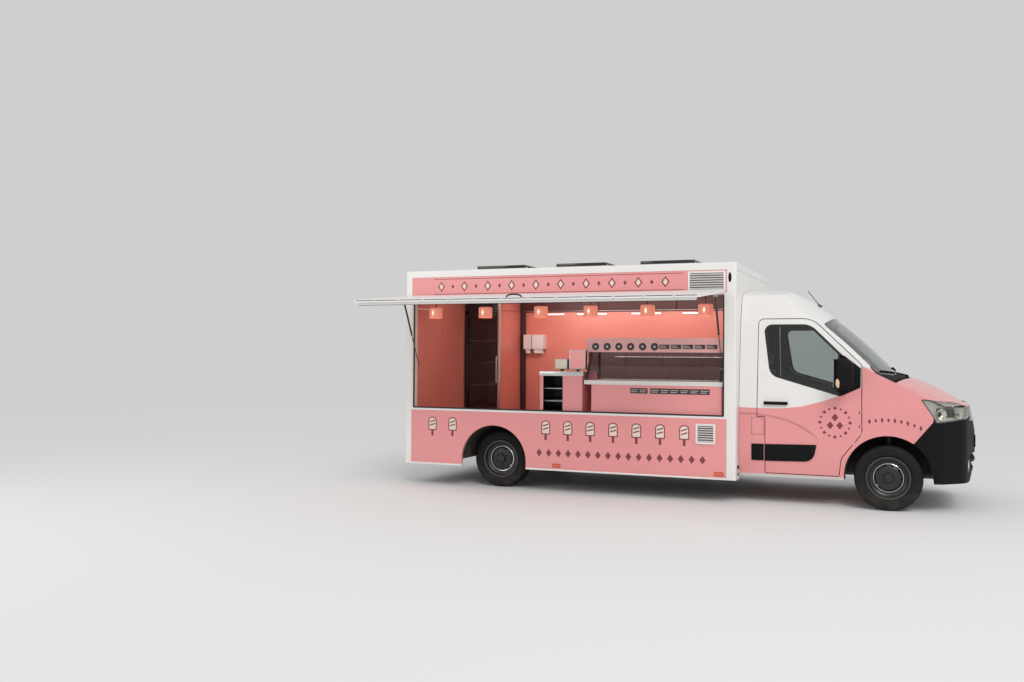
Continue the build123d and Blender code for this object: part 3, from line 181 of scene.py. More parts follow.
def surface_group():
    """Colour drift, low road dust and fine grain, shared by every finish."""
    if "Surface" in bpy.data.node_groups:
        return bpy.data.node_groups["Surface"]
    inputs = [
        ("Colour", "Color", (0.5, 0.5, 0.5, 1.0)),
        ("Shade", "Float", 0.05),
        ("Dust Colour", "Color", (0.34, 0.29, 0.23, 1.0)),
        ("Dust Height", "Float", 0.9),
        ("Dust Amount", "Float", 0.2),
        ("Grain Scale", "Float", 300.0),
        ("Roughness", "Float", 0.4),
        ("Spread", "Float", 0.05),
    ]
    outputs = [("Colour", "Color"), ("Roughness", "Float"), ("Height", "Float")]
    made, entry, leave = new_group("Surface", inputs, outputs)
    broad = made.noise(1.7, 3.0)
    fine = made.noise(entry["Grain Scale"], 2.0)
    patches = made.noise(11.0, 4.0)
    drift = made.math("MULTIPLY", made.math("SUBTRACT", broad, 0.5), entry["Shade"])
    level = made.math("ADD", made.math("MULTIPLY", drift, 2.0), 1.0)
    tinted = made.node("VectorMath", {0: entry["Colour"], "Scale": level}, operation="SCALE").outputs[0]
    low = made.spread(made.axes()["Z"], entry["Dust Height"], 0.15)
    low = made.math("MULTIPLY", made.math("POWER", low, 2.0), made.spread(patches, 0.25, 0.7))
    mask = made.math("MULTIPLY", low, entry["Dust Amount"])
    colour = made.mix(mask, tinted, entry["Dust Colour"])
    made.feed(leave["Colour"], colour)
    rough = made.math("MULTIPLY", made.math("SUBTRACT", patches, 0.5), entry["Spread"])
    rough = made.math("ADD", made.math("MULTIPLY", rough, 2.0), entry["Roughness"])
    made.feed(leave["Roughness"], made.math("ADD", rough, made.math("MULTIPLY", mask, 0.4)))
    made.feed(leave["Height"], fine)
    return made.tree


def lines_group():
    """Evenly spaced lines across one coordinate."""
    if "Lines" in bpy.data.node_groups:
        return bpy.data.node_groups["Lines"]
    inputs = [("Coordinate", "Float", 0.0), ("Pitch", "Float", 0.3), ("Width", "Float", 0.004)]
    made, entry, leave = new_group("Lines", inputs, [("Mask", "Float")])
    half = made.math("MULTIPLY", entry["Pitch"], 0.5)
    away = made.math("PINGPONG", entry["Coordinate"], half)
    made.feed(leave["Mask"], made.spread(away, entry["Width"], made.math("MULTIPLY", entry["Width"], 0.4)))
    return made.tree


def finish(name, colour, roughness, metallic=0.0, spread=0.05, shade=0.05, dust=0.15, dust_height=0.9,
           grain=300.0, depth=0.0, paint=None, relief=None, **shader):
    """A material: one colour or a painted pattern, with the shared surface detail."""
    if name in bpy.data.materials:
        return bpy.data.materials[name]
    material = bpy.data.materials.new(name)
    material.use_nodes = True
    material.node_tree.nodes.clear()
    made = Tree(material.node_tree)
    source = paint(made) if paint else colour
    out = made.group(surface_group(), Colour=source, Shade=shade, Dust_Height=dust_height, Dust_Amount=dust,
                     Grain_Scale=grain, Roughness=roughness, Spread=spread)
    body = made.node("BsdfPrincipled", {"Base Color": out["Colour"], "Roughness": out["Roughness"]})
    body.inputs["Metallic"].default_value = metallic
    for key, value in shader.items():
        made.feed(body.inputs[key.replace("_", " ")], value)
    height = None
    if depth:
        height = made.math("MULTIPLY", out["Height"], depth)
    if relief:
        raised = relief(made)
        height = made.math("ADD", height, raised) if height else raised
    if height:
        normal = made.node("Bump", {"Height": height, "Distance": 1.0, "Strength": 1.0})
        made.feed(body.inputs["Normal"], normal.outputs[0])
    leave = made.node("OutputMaterial")
    made.feed(leave.inputs[0], body.outputs[0])
    material.diffuse_color = (*colour, 1.0)
    return material


# ---------------------------------------------------------------- mesh helpers


def merge(bm, part, index=0):
    """Add a finished part to a mesh, with one material index for all its faces."""
    for face in part.faces:
        face.material_index = index
    mesh = bpy.data.meshes.new("part")
    part.to_mesh(mesh)
    part.free()
    bm.from_mesh(mesh)
    bpy.data.meshes.remove(mesh)


def rounded(part, edges, offset, segments):
    """Round the edges of a part."""
    bmesh.ops.bevel(part, geom=list(edges), offset=offset, offset_type="OFFSET", segments=segments, profile=0.5,
                    affect="EDGES", clamp_overlap=True, material=-1)


def new_verts(grown):
    """The points among the geometry that an extrusion made."""
    return [item for item in grown if isinstance(item, bmesh.types.BMVert)]


def block(bm, x, y, z, rounding=0.0, segments=2, index=0, turn=None):
    """Add a box from its low and high X, Y and Z, with its edges rounded."""
    middle = Vector(((x[0] + x[1]) / 2, (y[0] + y[1]) / 2, (z[0] + z[1]) / 2))
    size = (abs(x[1] - x[0]), abs(y[1] - y[0]), abs(z[1] - z[0]), 1.0)
    part = bmesh.new()
    place = Matrix.Translation(middle) @ (turn or Matrix.Identity(4)) @ Matrix.Diagonal(size)
    bmesh.ops.create_cube(part, size=1.0, matrix=place)
    if rounding:
        rounded(part, part.edges, rounding, segments)
    merge(bm, part, index)


def drum(bm, centre, axis, radius, length, steps=32, index=0, top=None, rounding=0.0):
    """Add a round bar or cone on a centre, along an axis."""
    turn = Vector(axis).to_track_quat("Z", "Y").to_matrix().to_4x4()
    place = Matrix.Translation(Vector(centre)) @ turn
    part = bmesh.new()
    bmesh.ops.create_cone(part, cap_ends=True, cap_tris=False, segments=steps, radius1=radius,
                          radius2=radius if top is None else top, depth=length, matrix=place)
    if rounding:
        rounded(part, {edge for face in part.faces if len(face.verts) > 4 for edge in face.edges}, rounding, 2)
    merge(bm, part, index)


def turned(bm, rows, centre, axis, steps=48, index=0, closed=True):
    """Add a ring or disc turned about an axis. Rows give distance along it and radius."""
    axis = Vector(axis).normalized()
    centre = Vector(centre)
    across = axis.orthogonal().normalized()
    part = bmesh.new()
    verts = [part.verts.new(centre + axis * along + across * radius) for along, radius in rows]
    pairs = zip(verts, verts[1:] + verts[:1]) if closed else zip(verts, verts[1:])
    edges = [part.edges.new(pair) for pair in pairs]
    bmesh.ops.spin(part, geom=verts + edges, cent=centre, axis=axis, angle=2 * pi, steps=steps, use_merge=True)
    bmesh.ops.remove_doubles(part, verts=part.verts, dist=1e-5)
    bmesh.ops.recalc_face_normals(part, faces=part.faces)
    merge(bm, part, index)


def bead(bm, centre, radii, index=0, steps=24):
    """Add a smooth oval bead."""
    part = bmesh.new()
    place = Matrix.Translation(Vector(centre)) @ Matrix.Diagonal((*radii, 1.0))
    bmesh.ops.create_uvsphere(part, u_segments=steps, v_segments=steps // 2, radius=1.0, matrix=place)
    merge(bm, part, index)


def wire(bm, points, radius, index=0, cyclic=False, smooth=False, sides=2):
    """Add a round wire through points."""
    curve = bpy.data.curves.new("wire", "CURVE")
    curve.dimensions = "3D"
    curve.bevel_depth = radius
    curve.bevel_resolution = sides
    curve.resolution_u = 8
    curve.use_fill_caps = not cyclic
    spline = curve.splines.new("NURBS" if smooth else "POLY")
    spline.points.add(len(points) - 1)
    for knot, point in zip(spline.points, points):
        knot.co = (*point, 1.0)
    spline.use_cyclic_u = cyclic
    if smooth:
        spline.order_u = 3
        spline.use_endpoint_u = not cyclic
    holder = bpy.data.objects.new("wire", curve)
    mesh = bpy.data.meshes.new_from_object(holder)
    part = bmesh.new()
    part.from_mesh(mesh)
    bpy.data.objects.remove(holder)
    bpy.data.curves.remove(curve)
    bpy.data.meshes.remove(mesh)
    bmesh.ops.remove_doubles(part, verts=part.verts, dist=1e-5)
    merge(bm, part, index)


def copied(*names):
    """The meshes of CAD nodes, copied and merged, each corner keeping the node's own shading."""
    bm = bmesh.new()
    for name in names:
        mesh = NODES[name].data.copy()
        shading = mesh.attributes.new("cad_shading", "FLOAT_VECTOR", "CORNER")
        for corner, normal in zip(shading.data, mesh.corner_normals):
            corner.vector = normal.vector
        bm.from_mesh(mesh)
        bpy.data.meshes.remove(mesh)
    bmesh.ops.remove_doubles(bm, verts=bm.verts, dist=1e-5)
    return bm


def skin(*names):
    """A tree for finding points on the CAD nodes' surfaces."""
    bm = copied(*names)
    tree = BVHTree.FromBMesh(bm)
    bm.free()
    return tree


def shape(bm, rows, lift):
    """Add one flat face from rows of two coordinates and a corner radius."""
    verts = [bm.verts.new(lift(first, second)) for first, second, _ in rows]
    bm.faces.new(verts)
    for vert, (_, _, radius) in zip(verts, rows):
        if radius:
            bmesh.ops.bevel(bm, geom=[vert], offset=radius, offset_type="OFFSET", segments=6, profile=0.5,
                            affect="VERTICES", clamp_overlap=True, material=-1)


def oblong(low, high, bottom, top, radius=0):
    """Rows for an upright oblong."""
    return [(low, bottom, radius), (low, top, radius), (high, top, radius), (high, bottom, radius)]


def lozenge(x, z, wide, tall):
    """Rows for a lozenge about a middle, from half its width and height."""
    return [(x - wide, z, 0), (x, z + tall, 0), (x + wide, z, 0), (x, z - tall, 0)]


def laid(bm, rows, side, tree, proud, step=0.04, index=0, edge=0.0):
    """Add a patch that lies on the truck's side. Rows give X, Z and corner radius."""
    part = bmesh.new()
    shape(part, rows, lambda x, z: (x, 0.0, z))
    low_x, high_x = min(row[0] for row in rows), max(row[0] for row in rows)
    low_z, high_z = min(row[1] for row in rows), max(row[1] for row in rows)
    for start, end, normal in ((low_x, high_x, (1, 0, 0)), (low_z, high_z, (0, 0, 1))):
        at = start + step
        while at < end - 1e-6:
            geom = part.verts[:] + part.edges[:] + part.faces[:]
            bmesh.ops.bisect_plane(part, geom=geom, plane_co=Vector(normal) * at, plane_no=normal)
            at += step
    drop(part, side, tree, proud, edge)
    merge(bm, part, index)


PATCH_SINK = 0.003  # how far a patch reaches into the side


def drop(part, side, tree, proud, edge):
    """Bring a flat patch onto the side and give it its thickness.

    A point whose ray misses the side, or passes through an opening in it, takes the place of the one before.
    """
    last = side * 1.0
    for vert in part.verts:
        hit = tree.ray_cast(Vector((vert.co.x, side * BESIDE, vert.co.z)), Vector((0, -side, 0)))[0]
        if hit is not None and abs(hit.y) > 0.7:
            last = hit.y
        vert.co.y = last - side * PATCH_SINK
    grown = bmesh.ops.extrude_face_region(part, geom=part.faces[:])["geom"]
    top = new_verts(grown)
    bmesh.ops.translate(part, verts=top, vec=(0, side * (proud + PATCH_SINK), 0))
    bmesh.ops.recalc_face_normals(part, faces=part.faces)
    if edge:
        known = set(top)
        rim = [e for e in part.edges if e.verts[0] in known and e.verts[1] in known
               and any(not (known >= set(face.verts)) for face in e.link_faces)]
        rounded(part, rim, edge, 2)


def place_piece(name, bm, body, materials, replaces=(), closed=True, sharp=35.0):
    """Finish a piece: its mesh, its materials, the body it rides on, and the CAD nodes it replaces, which it hides."""
    if closed:
        bmesh.ops.recalc_face_normals(bm, faces=bm.faces)
    mesh = bpy.data.meshes.new(name)
    bm.to_mesh(mesh)
    bm.free()
    for material in materials:
        mesh.materials.append(material)
    mesh.shade_smooth()
    shading = mesh.attributes.get("cad_shading")
    if shading and not closed:
        mesh.normals_split_custom_set([corner.vector.normalized() for corner in shading.data])
    else:
        mesh.set_sharp_from_angle(angle=radians(sharp))
    if mesh.attributes.get("cad_shading"):
        mesh.attributes.remove(mesh.attributes["cad_shading"])
    piece = bpy.data.objects.new(name, mesh)
    bpy.context.scene.collection.objects.link(piece)
    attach(piece, body)
    if replaces:
        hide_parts(*replaces)
    return piece


def dress(material, *names):
    """Give CAD nodes a material."""
    for name in names:
        node = NODES[name]
        if not node.data.materials:
            node.data.materials.append(None)
        for slot in node.material_slots:
            slot.link = "OBJECT"
            slot.material = material


# ---------------------------------------------------------------- settings


def colour_setting(name, description, default):
    return bpy.props.FloatVectorProperty(name=name, description=description, subtype="COLOR", size=3,
                                         min=0.0, max=1.0, default=default)


class TruckColours(bpy.types.PropertyGroup):
    """Colours of the truck."""

    pink: colour_setting("Pink", "Body panels and the lower part of the cab", (0.78, 0.30, 0.30))
    white: colour_setting("White", "Box frame, flap and the upper part of the cab", (0.80, 0.785, 0.765))
    coral: colour_setting("Coral", "Walls inside the box", (0.80, 0.26, 0.20))
    maroon: colour_setting("Maroon", "Decoration on the panels", (0.20, 0.035, 0.04))
    black: colour_setting("Black", "Bumper, mouldings and mirrors", (0.005, 0.005, 0.0055))
    shade: colour_setting("Lamp shade", "Shades of the pendant lamps", (0.84, 0.29, 0.21))


class TruckSizes(bpy.types.PropertyGroup):
    """Sizes of the fittings."""

    flap_board: bpy.props.FloatProperty(name="Flap board", description="Width of the flap's boards",
                                        default=0.30, min=0.05, unit="LENGTH")
    motif_pitch: bpy.props.FloatProperty(name="Motif spacing", description="Distance between the lolly motifs",
                                         default=0.268, min=0.1, unit="LENGTH")
    seal: bpy.props.FloatProperty(name="Window border", description="Width of the black border on the glass",
                                  default=0.026, min=0.005, unit="LENGTH")
    tread_depth: bpy.props.FloatProperty(name="Tread depth", description="Depth of the tyres' grooves",
                                         default=0.008, min=0.001, unit="LENGTH")


def colours():
    return bpy.context.scene.truck_colours


def sizes():
    return bpy.context.scene.truck_sizes


# ---------------------------------------------------------------- finishes

# Where the white upper part of the cab meets the pink. Columns: X, height.
SPLIT_LINE = [
    (0.60, 1.030), (0.90, 1.024), (1.10, 1.026), (1.30, 1.050), (1.50, 1.104), (1.70, 1.176), (1.909, 1.266),
    (1.912, 1.486), (2.030, 1.437), (2.032, 2.0), (2.40, 2.0),
]
# The crease pressed into the cab's side. Same columns.
CREASE_LINE = [
    (0.60, 0.962), (0.83, 0.962), (1.02, 0.936), (1.17, 0.899), (1.28, 0.853), (1.39, 0.787), (1.46, 0.733),
    (1.60, 0.30),
]


def paint_split(made):
    """White above the split line, pink below it, and pale grey below the sill's edge."""
    axes = made.axes()
    line = made.table(axes["X"], SPLIT_LINE)
    below = made.spread(made.math("SUBTRACT", line, axes["Z"]), -0.0006, 0.0006)
    sill = made.spread(axes["Z"], 0.3225, 0.3215)
    upper = made.mix(below, tuple(colours().white), tuple(colours().pink))
    return made.mix(sill, upper, (0.58, 0.56, 0.53))


def crease(made):
    """The crease's height, fading out towards the wheel arch."""
    axes = made.axes()
    away = made.math("SUBTRACT", axes["Z"], made.table(axes["X"], CREASE_LINE))
    step = made.spread(away, -0.011, 0.011, 0.0, 0.0125)
    outside = made.spread(made.math("ABSOLUTE", axes["Y"]), 0.90, 0.96)
    ahead = made.spread(axes["X"], 1.50, 1.42)
    return made.math("MULTIPLY", made.math("MULTIPLY", step, outside), ahead)


def cab_paint():
    return finish("Cab paint", colours().pink, 0.28, spread=0.03, shade=0.03, dust=0.12, dust_height=0.65,
                  grain=900.0, depth=0.00002, paint=paint_split, relief=crease, Coat_Weight=0.5,
                  Coat_Roughness=0.06, Specular_IOR_Level=0.45)


def white_paint(name="White frame paint", paint=None):
    return finish(name, colours().white, 0.36, shade=0.03, dust=0.25, dust_height=0.6, grain=600.0, depth=0.00004,
                  paint=paint, Coat_Weight=0.2, Coat_Roughness=0.15)


def within(made, value, low, high, soft=0.0006):
    """A mask that is one between two values."""
    above = made.spread(value, low - soft, low + soft)
    below = made.spread(value, high + soft, high - soft)
    return made.math("MULTIPLY", above, below)


PINK_RAIL = (0.273, 0.295)  # heights between which the lower rails are pink


def frame_paint():
    """White frame paint, with the panels' pink carried down onto the lower rails."""

    def pattern(made):
        axes = made.axes()
        along = within(made, axes["X"], BOX_REAR + 0.088, PANEL_END)
        upright = within(made, axes["Z"], *PINK_RAIL)
        outside = made.spread(made.math("ABSOLUTE", axes["Y"]), 1.190, 1.192)
        mask = made.math("MULTIPLY", made.math("MULTIPLY", along, upright), outside)
        return made.mix(mask, tuple(colours().white), tuple(colours().pink))

    return white_paint("Box frame paint", pattern)


def skin_paint(name, axis, face, outside, inside, sign=1, end=None):
    """Paint that is one colour outside the box and another inside it, split at a plane."""

    def pattern(made):
        axes = made.axes()
        coordinate = made.math("MULTIPLY", axes[axis], float(sign))
        outer = tuple(outside)
        if end is not None:
            outer = made.mix(made.spread(axes["X"], end - 0.0006, end + 0.0006), outer, tuple(colours().white))
        return made.mix(made.spread(coordinate, face - 0.002, face + 0.002), tuple(inside), outer)

    return finish(name, outside, 0.38, spread=0.05, shade=0.05, dust=0.2, dust_height=0.7, grain=500.0,
                  depth=0.00005, paint=pattern, Coat_Weight=0.2, Coat_Roughness=0.2)


def left_wall_paint():
    return skin_paint("Left wall paint", "Y", 1.175, colours().pink, colours().coral, end=PANEL_END)


def flap_paint():
    def boards(made):
        seams = made.group(lines_group(), Coordinate=made.axes()["X"], Pitch=sizes().flap_board, Width=0.0035)
        return made.mix(seams["Mask"], tuple(colours().white), (0.33, 0.32, 0.31))

    def grooves(made):
        seams = made.group(lines_group(), Coordinate=made.axes()["X"], Pitch=sizes().flap_board, Width=0.005)
        return made.math("MULTIPLY", seams["Mask"], -0.002)

    return finish("Flap boards", colours().white, 0.36, spread=0.05, shade=0.03, dust=0.0, grain=600.0,
                  depth=0.00004, paint=boards, relief=grooves, Coat_Weight=0.15, Coat_Roughness=0.2)


def black_plastic():
    return finish("Black moulded plastic", colours().black, 0.6, spread=0.08, shade=0.12, dust=0.015,
                  dust_height=0.5, grain=1400.0, depth=0.00022, Specular_IOR_Level=0.14)


def gloss_black():
    return finish("Gloss black", (0.008, 0.008, 0.009), 0.14, spread=0.04, shade=0.05, dust=0.12,
                  grain=500.0, depth=0.00001, Coat_Weight=0.4, Coat_Roughness=0.05)


def rubber():
    return finish("Seal rubber", (0.018, 0.018, 0.018), 0.7, spread=0.1, shade=0.2, dust=0.2, grain=900.0,
                  depth=0.0002)


def chassis_black():
    return finish("Chassis enamel", (0.035, 0.034, 0.033), 0.5, spread=0.12, shade=0.3, dust=0.6,
                  dust_height=0.8, grain=260.0, depth=0.0004)


def trim_grey():
    return finish("Cabin plastic", (0.075, 0.075, 0.08), 0.62, spread=0.08, shade=0.15, dust=0.0,
                  grain=1100.0, depth=0.0003)


def steel():
    def brushed(made):
        return made.math("MULTIPLY", made.noise(90.0, 2.0, stretch=(0.15, 6.0, 6.0)), 0.00003)

    return finish("Brushed stainless", (0.62, 0.61, 0.60), 0.27, metallic=1.0, spread=0.08, shade=0.08, dust=0.0,
                  relief=brushed)


def aluminium():
    return finish("Mill aluminium", (0.66, 0.66, 0.66), 0.34, metallic=1.0, spread=0.08, shade=0.06, dust=0.05,
                  grain=400.0, depth=0.00008)


def bright_metal():
    return finish("Bright plated metal", (0.82, 0.82, 0.82), 0.09, metallic=1.0, spread=0.04, shade=0.04,
                  dust=0.05, depth=0.00001)


def glass(name, tint):
    return finish(name, tint, 0.02, spread=0.015, shade=0.03, dust=0.0, grain=20.0, depth=0.00002,
                  Transmission_Weight=1.0, IOR=1.45, Specular_IOR_Level=0.6)


def lens(name, tint, ribs=0.012, axis="X"):
    """Moulded lens plastic with ribs across an axis."""

    def ribbed(made):
        across = made.group(lines_group(), Coordinate=made.axes()[axis], Pitch=ribs, Width=ribs * 0.5)
        return made.math("MULTIPLY", across["Mask"], 0.0012)

    return finish(name, tint, 0.12, spread=0.03, shade=0.05, dust=0.12, relief=ribbed, Coat_Weight=0.8,
                  Coat_Roughness=0.04)


def tyre_rubber():
    def ribs(made):
        axes = made.axes()
        across = made.math("SUBTRACT", made.math("ABSOLUTE", axes["X"]), FRONT_AXLE)
        up = made.math("SUBTRACT", axes["Z"], AXLE_HEIGHT)
        radius = made.math("SQRT", made.math("ADD", made.math("POWER", across, 2.0), made.math("POWER", up, 2.0)))
        rings = made.group(lines_group(), Coordinate=radius, Pitch=0.006, Width=0.0016)
        wall = made.spread(radius, 0.268, 0.262)
        return made.math("MULTIPLY", made.math("MULTIPLY", rings["Mask"], wall), 0.0006)

    return finish("Tyre rubber", (0.010, 0.0095, 0.0095), 0.72, spread=0.08, shade=0.25, dust=0.07, dust_height=0.4,
                  grain=420.0, depth=0.0005, relief=ribs, Specular_IOR_Level=0.25)


def wheel_enamel():
    return finish("Wheel enamel", (0.009, 0.009, 0.010), 0.4, spread=0.1, shade=0.2, dust=0.07, dust_height=0.4,
                  depth=0.0001, Coat_Weight=0.15, Coat_Roughness=0.2)


# A paler grey metal than the wheel's enamel for the rim's lip: painted highlight where the lip catches the light
def wheel_lip_highlight():
    return finish("Wheel lip painted highlight", (0.10, 0.10, 0.105), 0.42, metallic=0.6, spread=0.12, shade=0.3, dust=0.1,
                  dust_height=0.5, grain=260.0, depth=0.0001)


def felt():
    return finish("Arch felt", (0.014, 0.014, 0.014), 0.95, spread=0.04, shade=0.4, dust=0.35, grain=260.0,
                  depth=0.002)


def fabric():
    def weave(made):
        axes = made.axes()
        along = made.group(lines_group(), Coordinate=axes["Y"], Pitch=0.0032, Width=0.0012)
        across = made.group(lines_group(), Coordinate=made.math("ADD", axes["Z"], axes["X"]), Pitch=0.0032,
                            Width=0.0012)
        return made.math("MULTIPLY", made.math("ADD", along["Mask"], across["Mask"]), 0.0004)

    return finish("Cabin cloth", (0.075, 0.078, 0.09), 0.92, spread=0.04, shade=0.2, dust=0.0, relief=weave,
                  Sheen_Weight=0.4, Sheen_Roughness=0.4)


def anti_slip():
    def studs(made):
        cells = made.node("TexVoronoi", {"Vector": made.place(), "Scale": 55.0}).outputs["Distance"]
        return made.spread(cells, 0.32, 0.22, 0.0, 0.0009)

    return finish("Anti-slip floor", (0.17, 0.17, 0.175), 0.7, spread=0.08, shade=0.15, dust=0.1, relief=studs)


def solar_cells():
    def cells(made):
        axes = made.axes()
        across = made.group(lines_group(), Coordinate=axes["X"], Pitch=0.1045, Width=0.0025)["Mask"]
        along = made.group(lines_group(), Coordinate=axes["Y"], Pitch=0.1045, Width=0.0025)["Mask"]
        bars = made.group(lines_group(), Coordinate=axes["X"], Pitch=0.0348, Width=0.0009)["Mask"]
        fingers = made.group(lines_group(), Coordinate=axes["Y"], Pitch=0.0026, Width=0.0005)["Mask"]
        base = made.mix(made.math("MULTIPLY", fingers, 0.25), (0.010, 0.016, 0.045), (0.09, 0.10, 0.13))
        base = made.mix(made.math("MULTIPLY", bars, 0.8), base, (0.35, 0.36, 0.38))
        return made.mix(made.math("MAXIMUM", across, along), base, (0.55, 0.56, 0.57))

    return finish("Solar cells", (0.01, 0.016, 0.045), 0.12, spread=0.03, shade=0.1, dust=0.0, paint=cells,
                  Coat_Weight=1.0, Coat_Roughness=0.03)


def tail_lens():
    """Tail lamp: amber above, red, and a clear reversing light below."""
    amber, red, clear = (0.75, 0.22, 0.015), (0.42, 0.012, 0.012), (0.62, 0.60, 0.57)

    def bands(made):
        height = made.axes()["Z"]
        upper = made.spread(height, 0.7605, 0.7595)
        lower = made.spread(height, 0.6405, 0.6395)
        return made.mix(lower, made.mix(upper, amber, red), clear)

    def ribbed(made):
        lines = made.group(lines_group(), Coordinate=made.axes()["Z"], Pitch=0.009, Width=0.0045)
        return made.math("MULTIPLY", lines["Mask"], 0.001)

    return finish("Tail lamp lens", red, 0.12, spread=0.03, paint=bands, relief=ribbed, Coat_Weight=0.8,
                  Coat_Roughness=0.04)


def lit_shade():
    return finish("Lit copper shade", colours().shade, 0.35, spread=0.06, shade=0.08, dust=0.0, grain=350.0,
                  depth=0.0001, Coat_Weight=0.3, Emission_Color=(1.0, 0.36, 0.24), Emission_Strength=0.30)


def glow(name, colour, strength):
    """A plain surface that gives light."""
    return finish(name, colour, 0.4, spread=0.02, shade=0.02, dust=0.0, Emission_Color=colour,
                  Emission_Strength=strength)


class PaintFrame(bpy.types.Operator):
    """Give every CAD node that keeps its own shape its finish"""

    bl_idname = "truck.paint_frame"
    bl_label = "Paint the frame"

    def execute(self, context):
        pink, white, coral = colours().pink, colours().white, colours().coral
        dress(frame_paint(), "box_frame")
        dress(white_paint(), "hatch_frame")
        dress(flap_paint(), "hatch_flap")
        dress(left_wall_paint(), "left_wall")
        dress(skin_paint("Side panel paint", "Y", 1.175, pink, coral, -1, PANEL_END), "side_panel", "fascia")
        dress(skin_paint("Rear wall paint", "X", 3.33, white, coral, -1), "rear_wall", "rear_door")
        dress(skin_paint("Front wall paint", "X", 0.64, white, coral), "front_wall")
        dress(skin_paint("Roof paint", "Z", 2.56, white, (0.62, 0.30, 0.24)), "box_roof")
        dress(anti_slip(), "box_floor")
        dress(chassis_black(), "side_members", "rear_axle", "front_suspension", "knuckle_left", "knuckle_right")
        dress(finish("Cast engine grey", (0.16, 0.16, 0.165), 0.6, metallic=0.6, spread=0.1, shade=0.3, dust=0.3,
                     grain=160.0, depth=0.0008), "engine_block")
        dress(felt(), "arch_liners")
        dress(trim_grey(), "dashboard")
        dress(skin_paint("Shelf paint", "Z", 1.6165, (0.86, 0.48, 0.47), (0.022, 0.020, 0.021)), "overhead_shelf")
        dress(finish("Freezer front", pink, 0.3, spread=0.04, shade=0.04, dust=0.0, grain=500.0, depth=0.00003,
                     Coat_Weight=0.3), "display_freezer", "service_counter")
        dress(finish("Pale enamelled rim", (0.74, 0.72, 0.70), 0.3, metallic=0.25, spread=0.05, shade=0.04, dust=0.0,
                     grain=500.0, depth=0.00003), "freezer_rim")
        dress(glass("Counter glass", (0.985, 0.99, 0.985)), "display_glass", "fridge_glass")
        dress(gloss_black(), "till_screens", "strut_cylinder_front", "strut_cylinder_rear")
        dress(skin_paint("Fridge cabinet", "X", -2.784, coral, (0.035, 0.030, 0.030)), "upright_fridge")
        dress(finish("Dispenser plastic", (0.86, 0.85, 0.83), 0.35, spread=0.05, shade=0.03, dust=0.0,
                     grain=600.0, depth=0.00005), "dispensers")
        dress(tail_lens(), "tail_lamps")
        dress(finish("Dark strut rod", (0.07, 0.07, 0.075), 0.22, metallic=0.8, spread=0.05, shade=0.05, dust=0.0,
                     grain=400.0, depth=0.00003), "strut_rod_front", "strut_rod_rear")
        dress(solar_cells(), "solar_panels")
        return {"FINISHED"}


# ---------------------------------------------------------------- cab


def inward(face, middle):
    """Whether a face looks towards a middle."""
    return face.normal.dot(face.calc_center_median() - Vector(middle)) < 0


def refined(name, body, materials, choose=None, middle=None):
    """A smooth copy of a CAD node. Where there is a rule, it chooses the material of each face."""
    bm = copied(name)
    bm.normal_update()
    tree = BVHTree.FromBMesh(bm)
    for face in bm.faces:
        face.material_index = choose(face, tree, middle) if choose else 0
    place_piece(name + "_finish", bm, body, materials, (name,), closed=False, sharp=28.0)


def wall_behind(face, tree):
    """How thick the part is behind a face."""
    start = face.calc_center_median() - face.normal * 0.0005
    hit = tree.ray_cast(start, -face.normal, 0.5)
    return hit[3] if hit[0] is not None else 1.0


# Where each paint stands in the cab's list of materials, and the most that a lined wall can be thick
PAINT, LINING, BLACK = 0, 1, 2
WALL = 0.12


def choose_shell(face, tree, middle):
    """Body paint outside, lining inside, black in the wheel arches and the nose."""
    spot = face.calc_center_median()
    radius = Vector((spot.x - FRONT_AXLE, spot.z - ARCH_HEIGHT)).length
    if abs(radius - ARCH_RADIUS) < 0.003 and abs(face.normal.y) < 0.3:
        return BLACK
    if spot.x > NOSE_START and inward(face, NOSE_MIDDLE):
        return BLACK
    if spot.x < NOSE_START:
        return choose_door(face, tree, middle)
    return PAINT


def choose_door(face, tree, middle):
    """Body paint outside and lining inside."""
    return LINING if inward(face, middle) and wall_behind(face, tree) < WALL else PAINT


class DressCab(bpy.types.Operator):
    """Cover the cab's shell, doors, bonnet and cowl with smooth painted skins and linings"""

    bl_idname = "truck.dress_cab"
    bl_label = "Dress the cab"

    def execute(self, context):
        skins = [cab_paint(), trim_grey(), black_plastic()]
        refined("cab_shell", "truck", skins, choose_shell, CAB_MIDDLE)
        for _, hand in SIDES:
            refined(f"door_{hand}", f"door_{hand}", skins, choose_door, CAB_MIDDLE)
        refined("bonnet", "bonnet", skins, choose_door, NOSE_MIDDLE)
        refined("cowl", "truck", [black_plastic()])
        refined("front_bumper", "truck", [black_plastic()])
        refined("upper_grille", "truck", [gloss_black()])
        return {"FINISHED"}


def pane(name, body, material):
    """A smooth copy of a glass node."""
    place_piece(name + "_pane", copied(name), body, [material], (name,), closed=False)


def border(name, label, body, outward):
    """A black band round the edge of a pane, on its outer face."""
    bm = copied(name)
    bm.normal_update()
    inner = [face for face in bm.faces if face.normal.dot(outward) < 0.35]
    bmesh.ops.delete(bm, geom=inner, context="FACES")
    bmesh.ops.dissolve_limit(bm, angle_limit=radians(0.4), verts=bm.verts, edges=bm.edges)
    centre_faces = bm.faces[:]
    bmesh.ops.inset_region(bm, faces=centre_faces, thickness=sizes().seal, use_boundary=True, use_even_offset=True)
    bmesh.ops.delete(bm, geom=centre_faces, context="FACES")
    grown = bmesh.ops.extrude_face_region(bm, geom=bm.faces[:])["geom"]
    bmesh.ops.translate(bm, verts=new_verts(grown), vec=outward * 0.0015)
    place_piece(label, bm, body, [gloss_black()])


SCREEN_SLOPE = Vector((0.66, 0.0, 0.75)).normalized()  # straight out from the windscreen


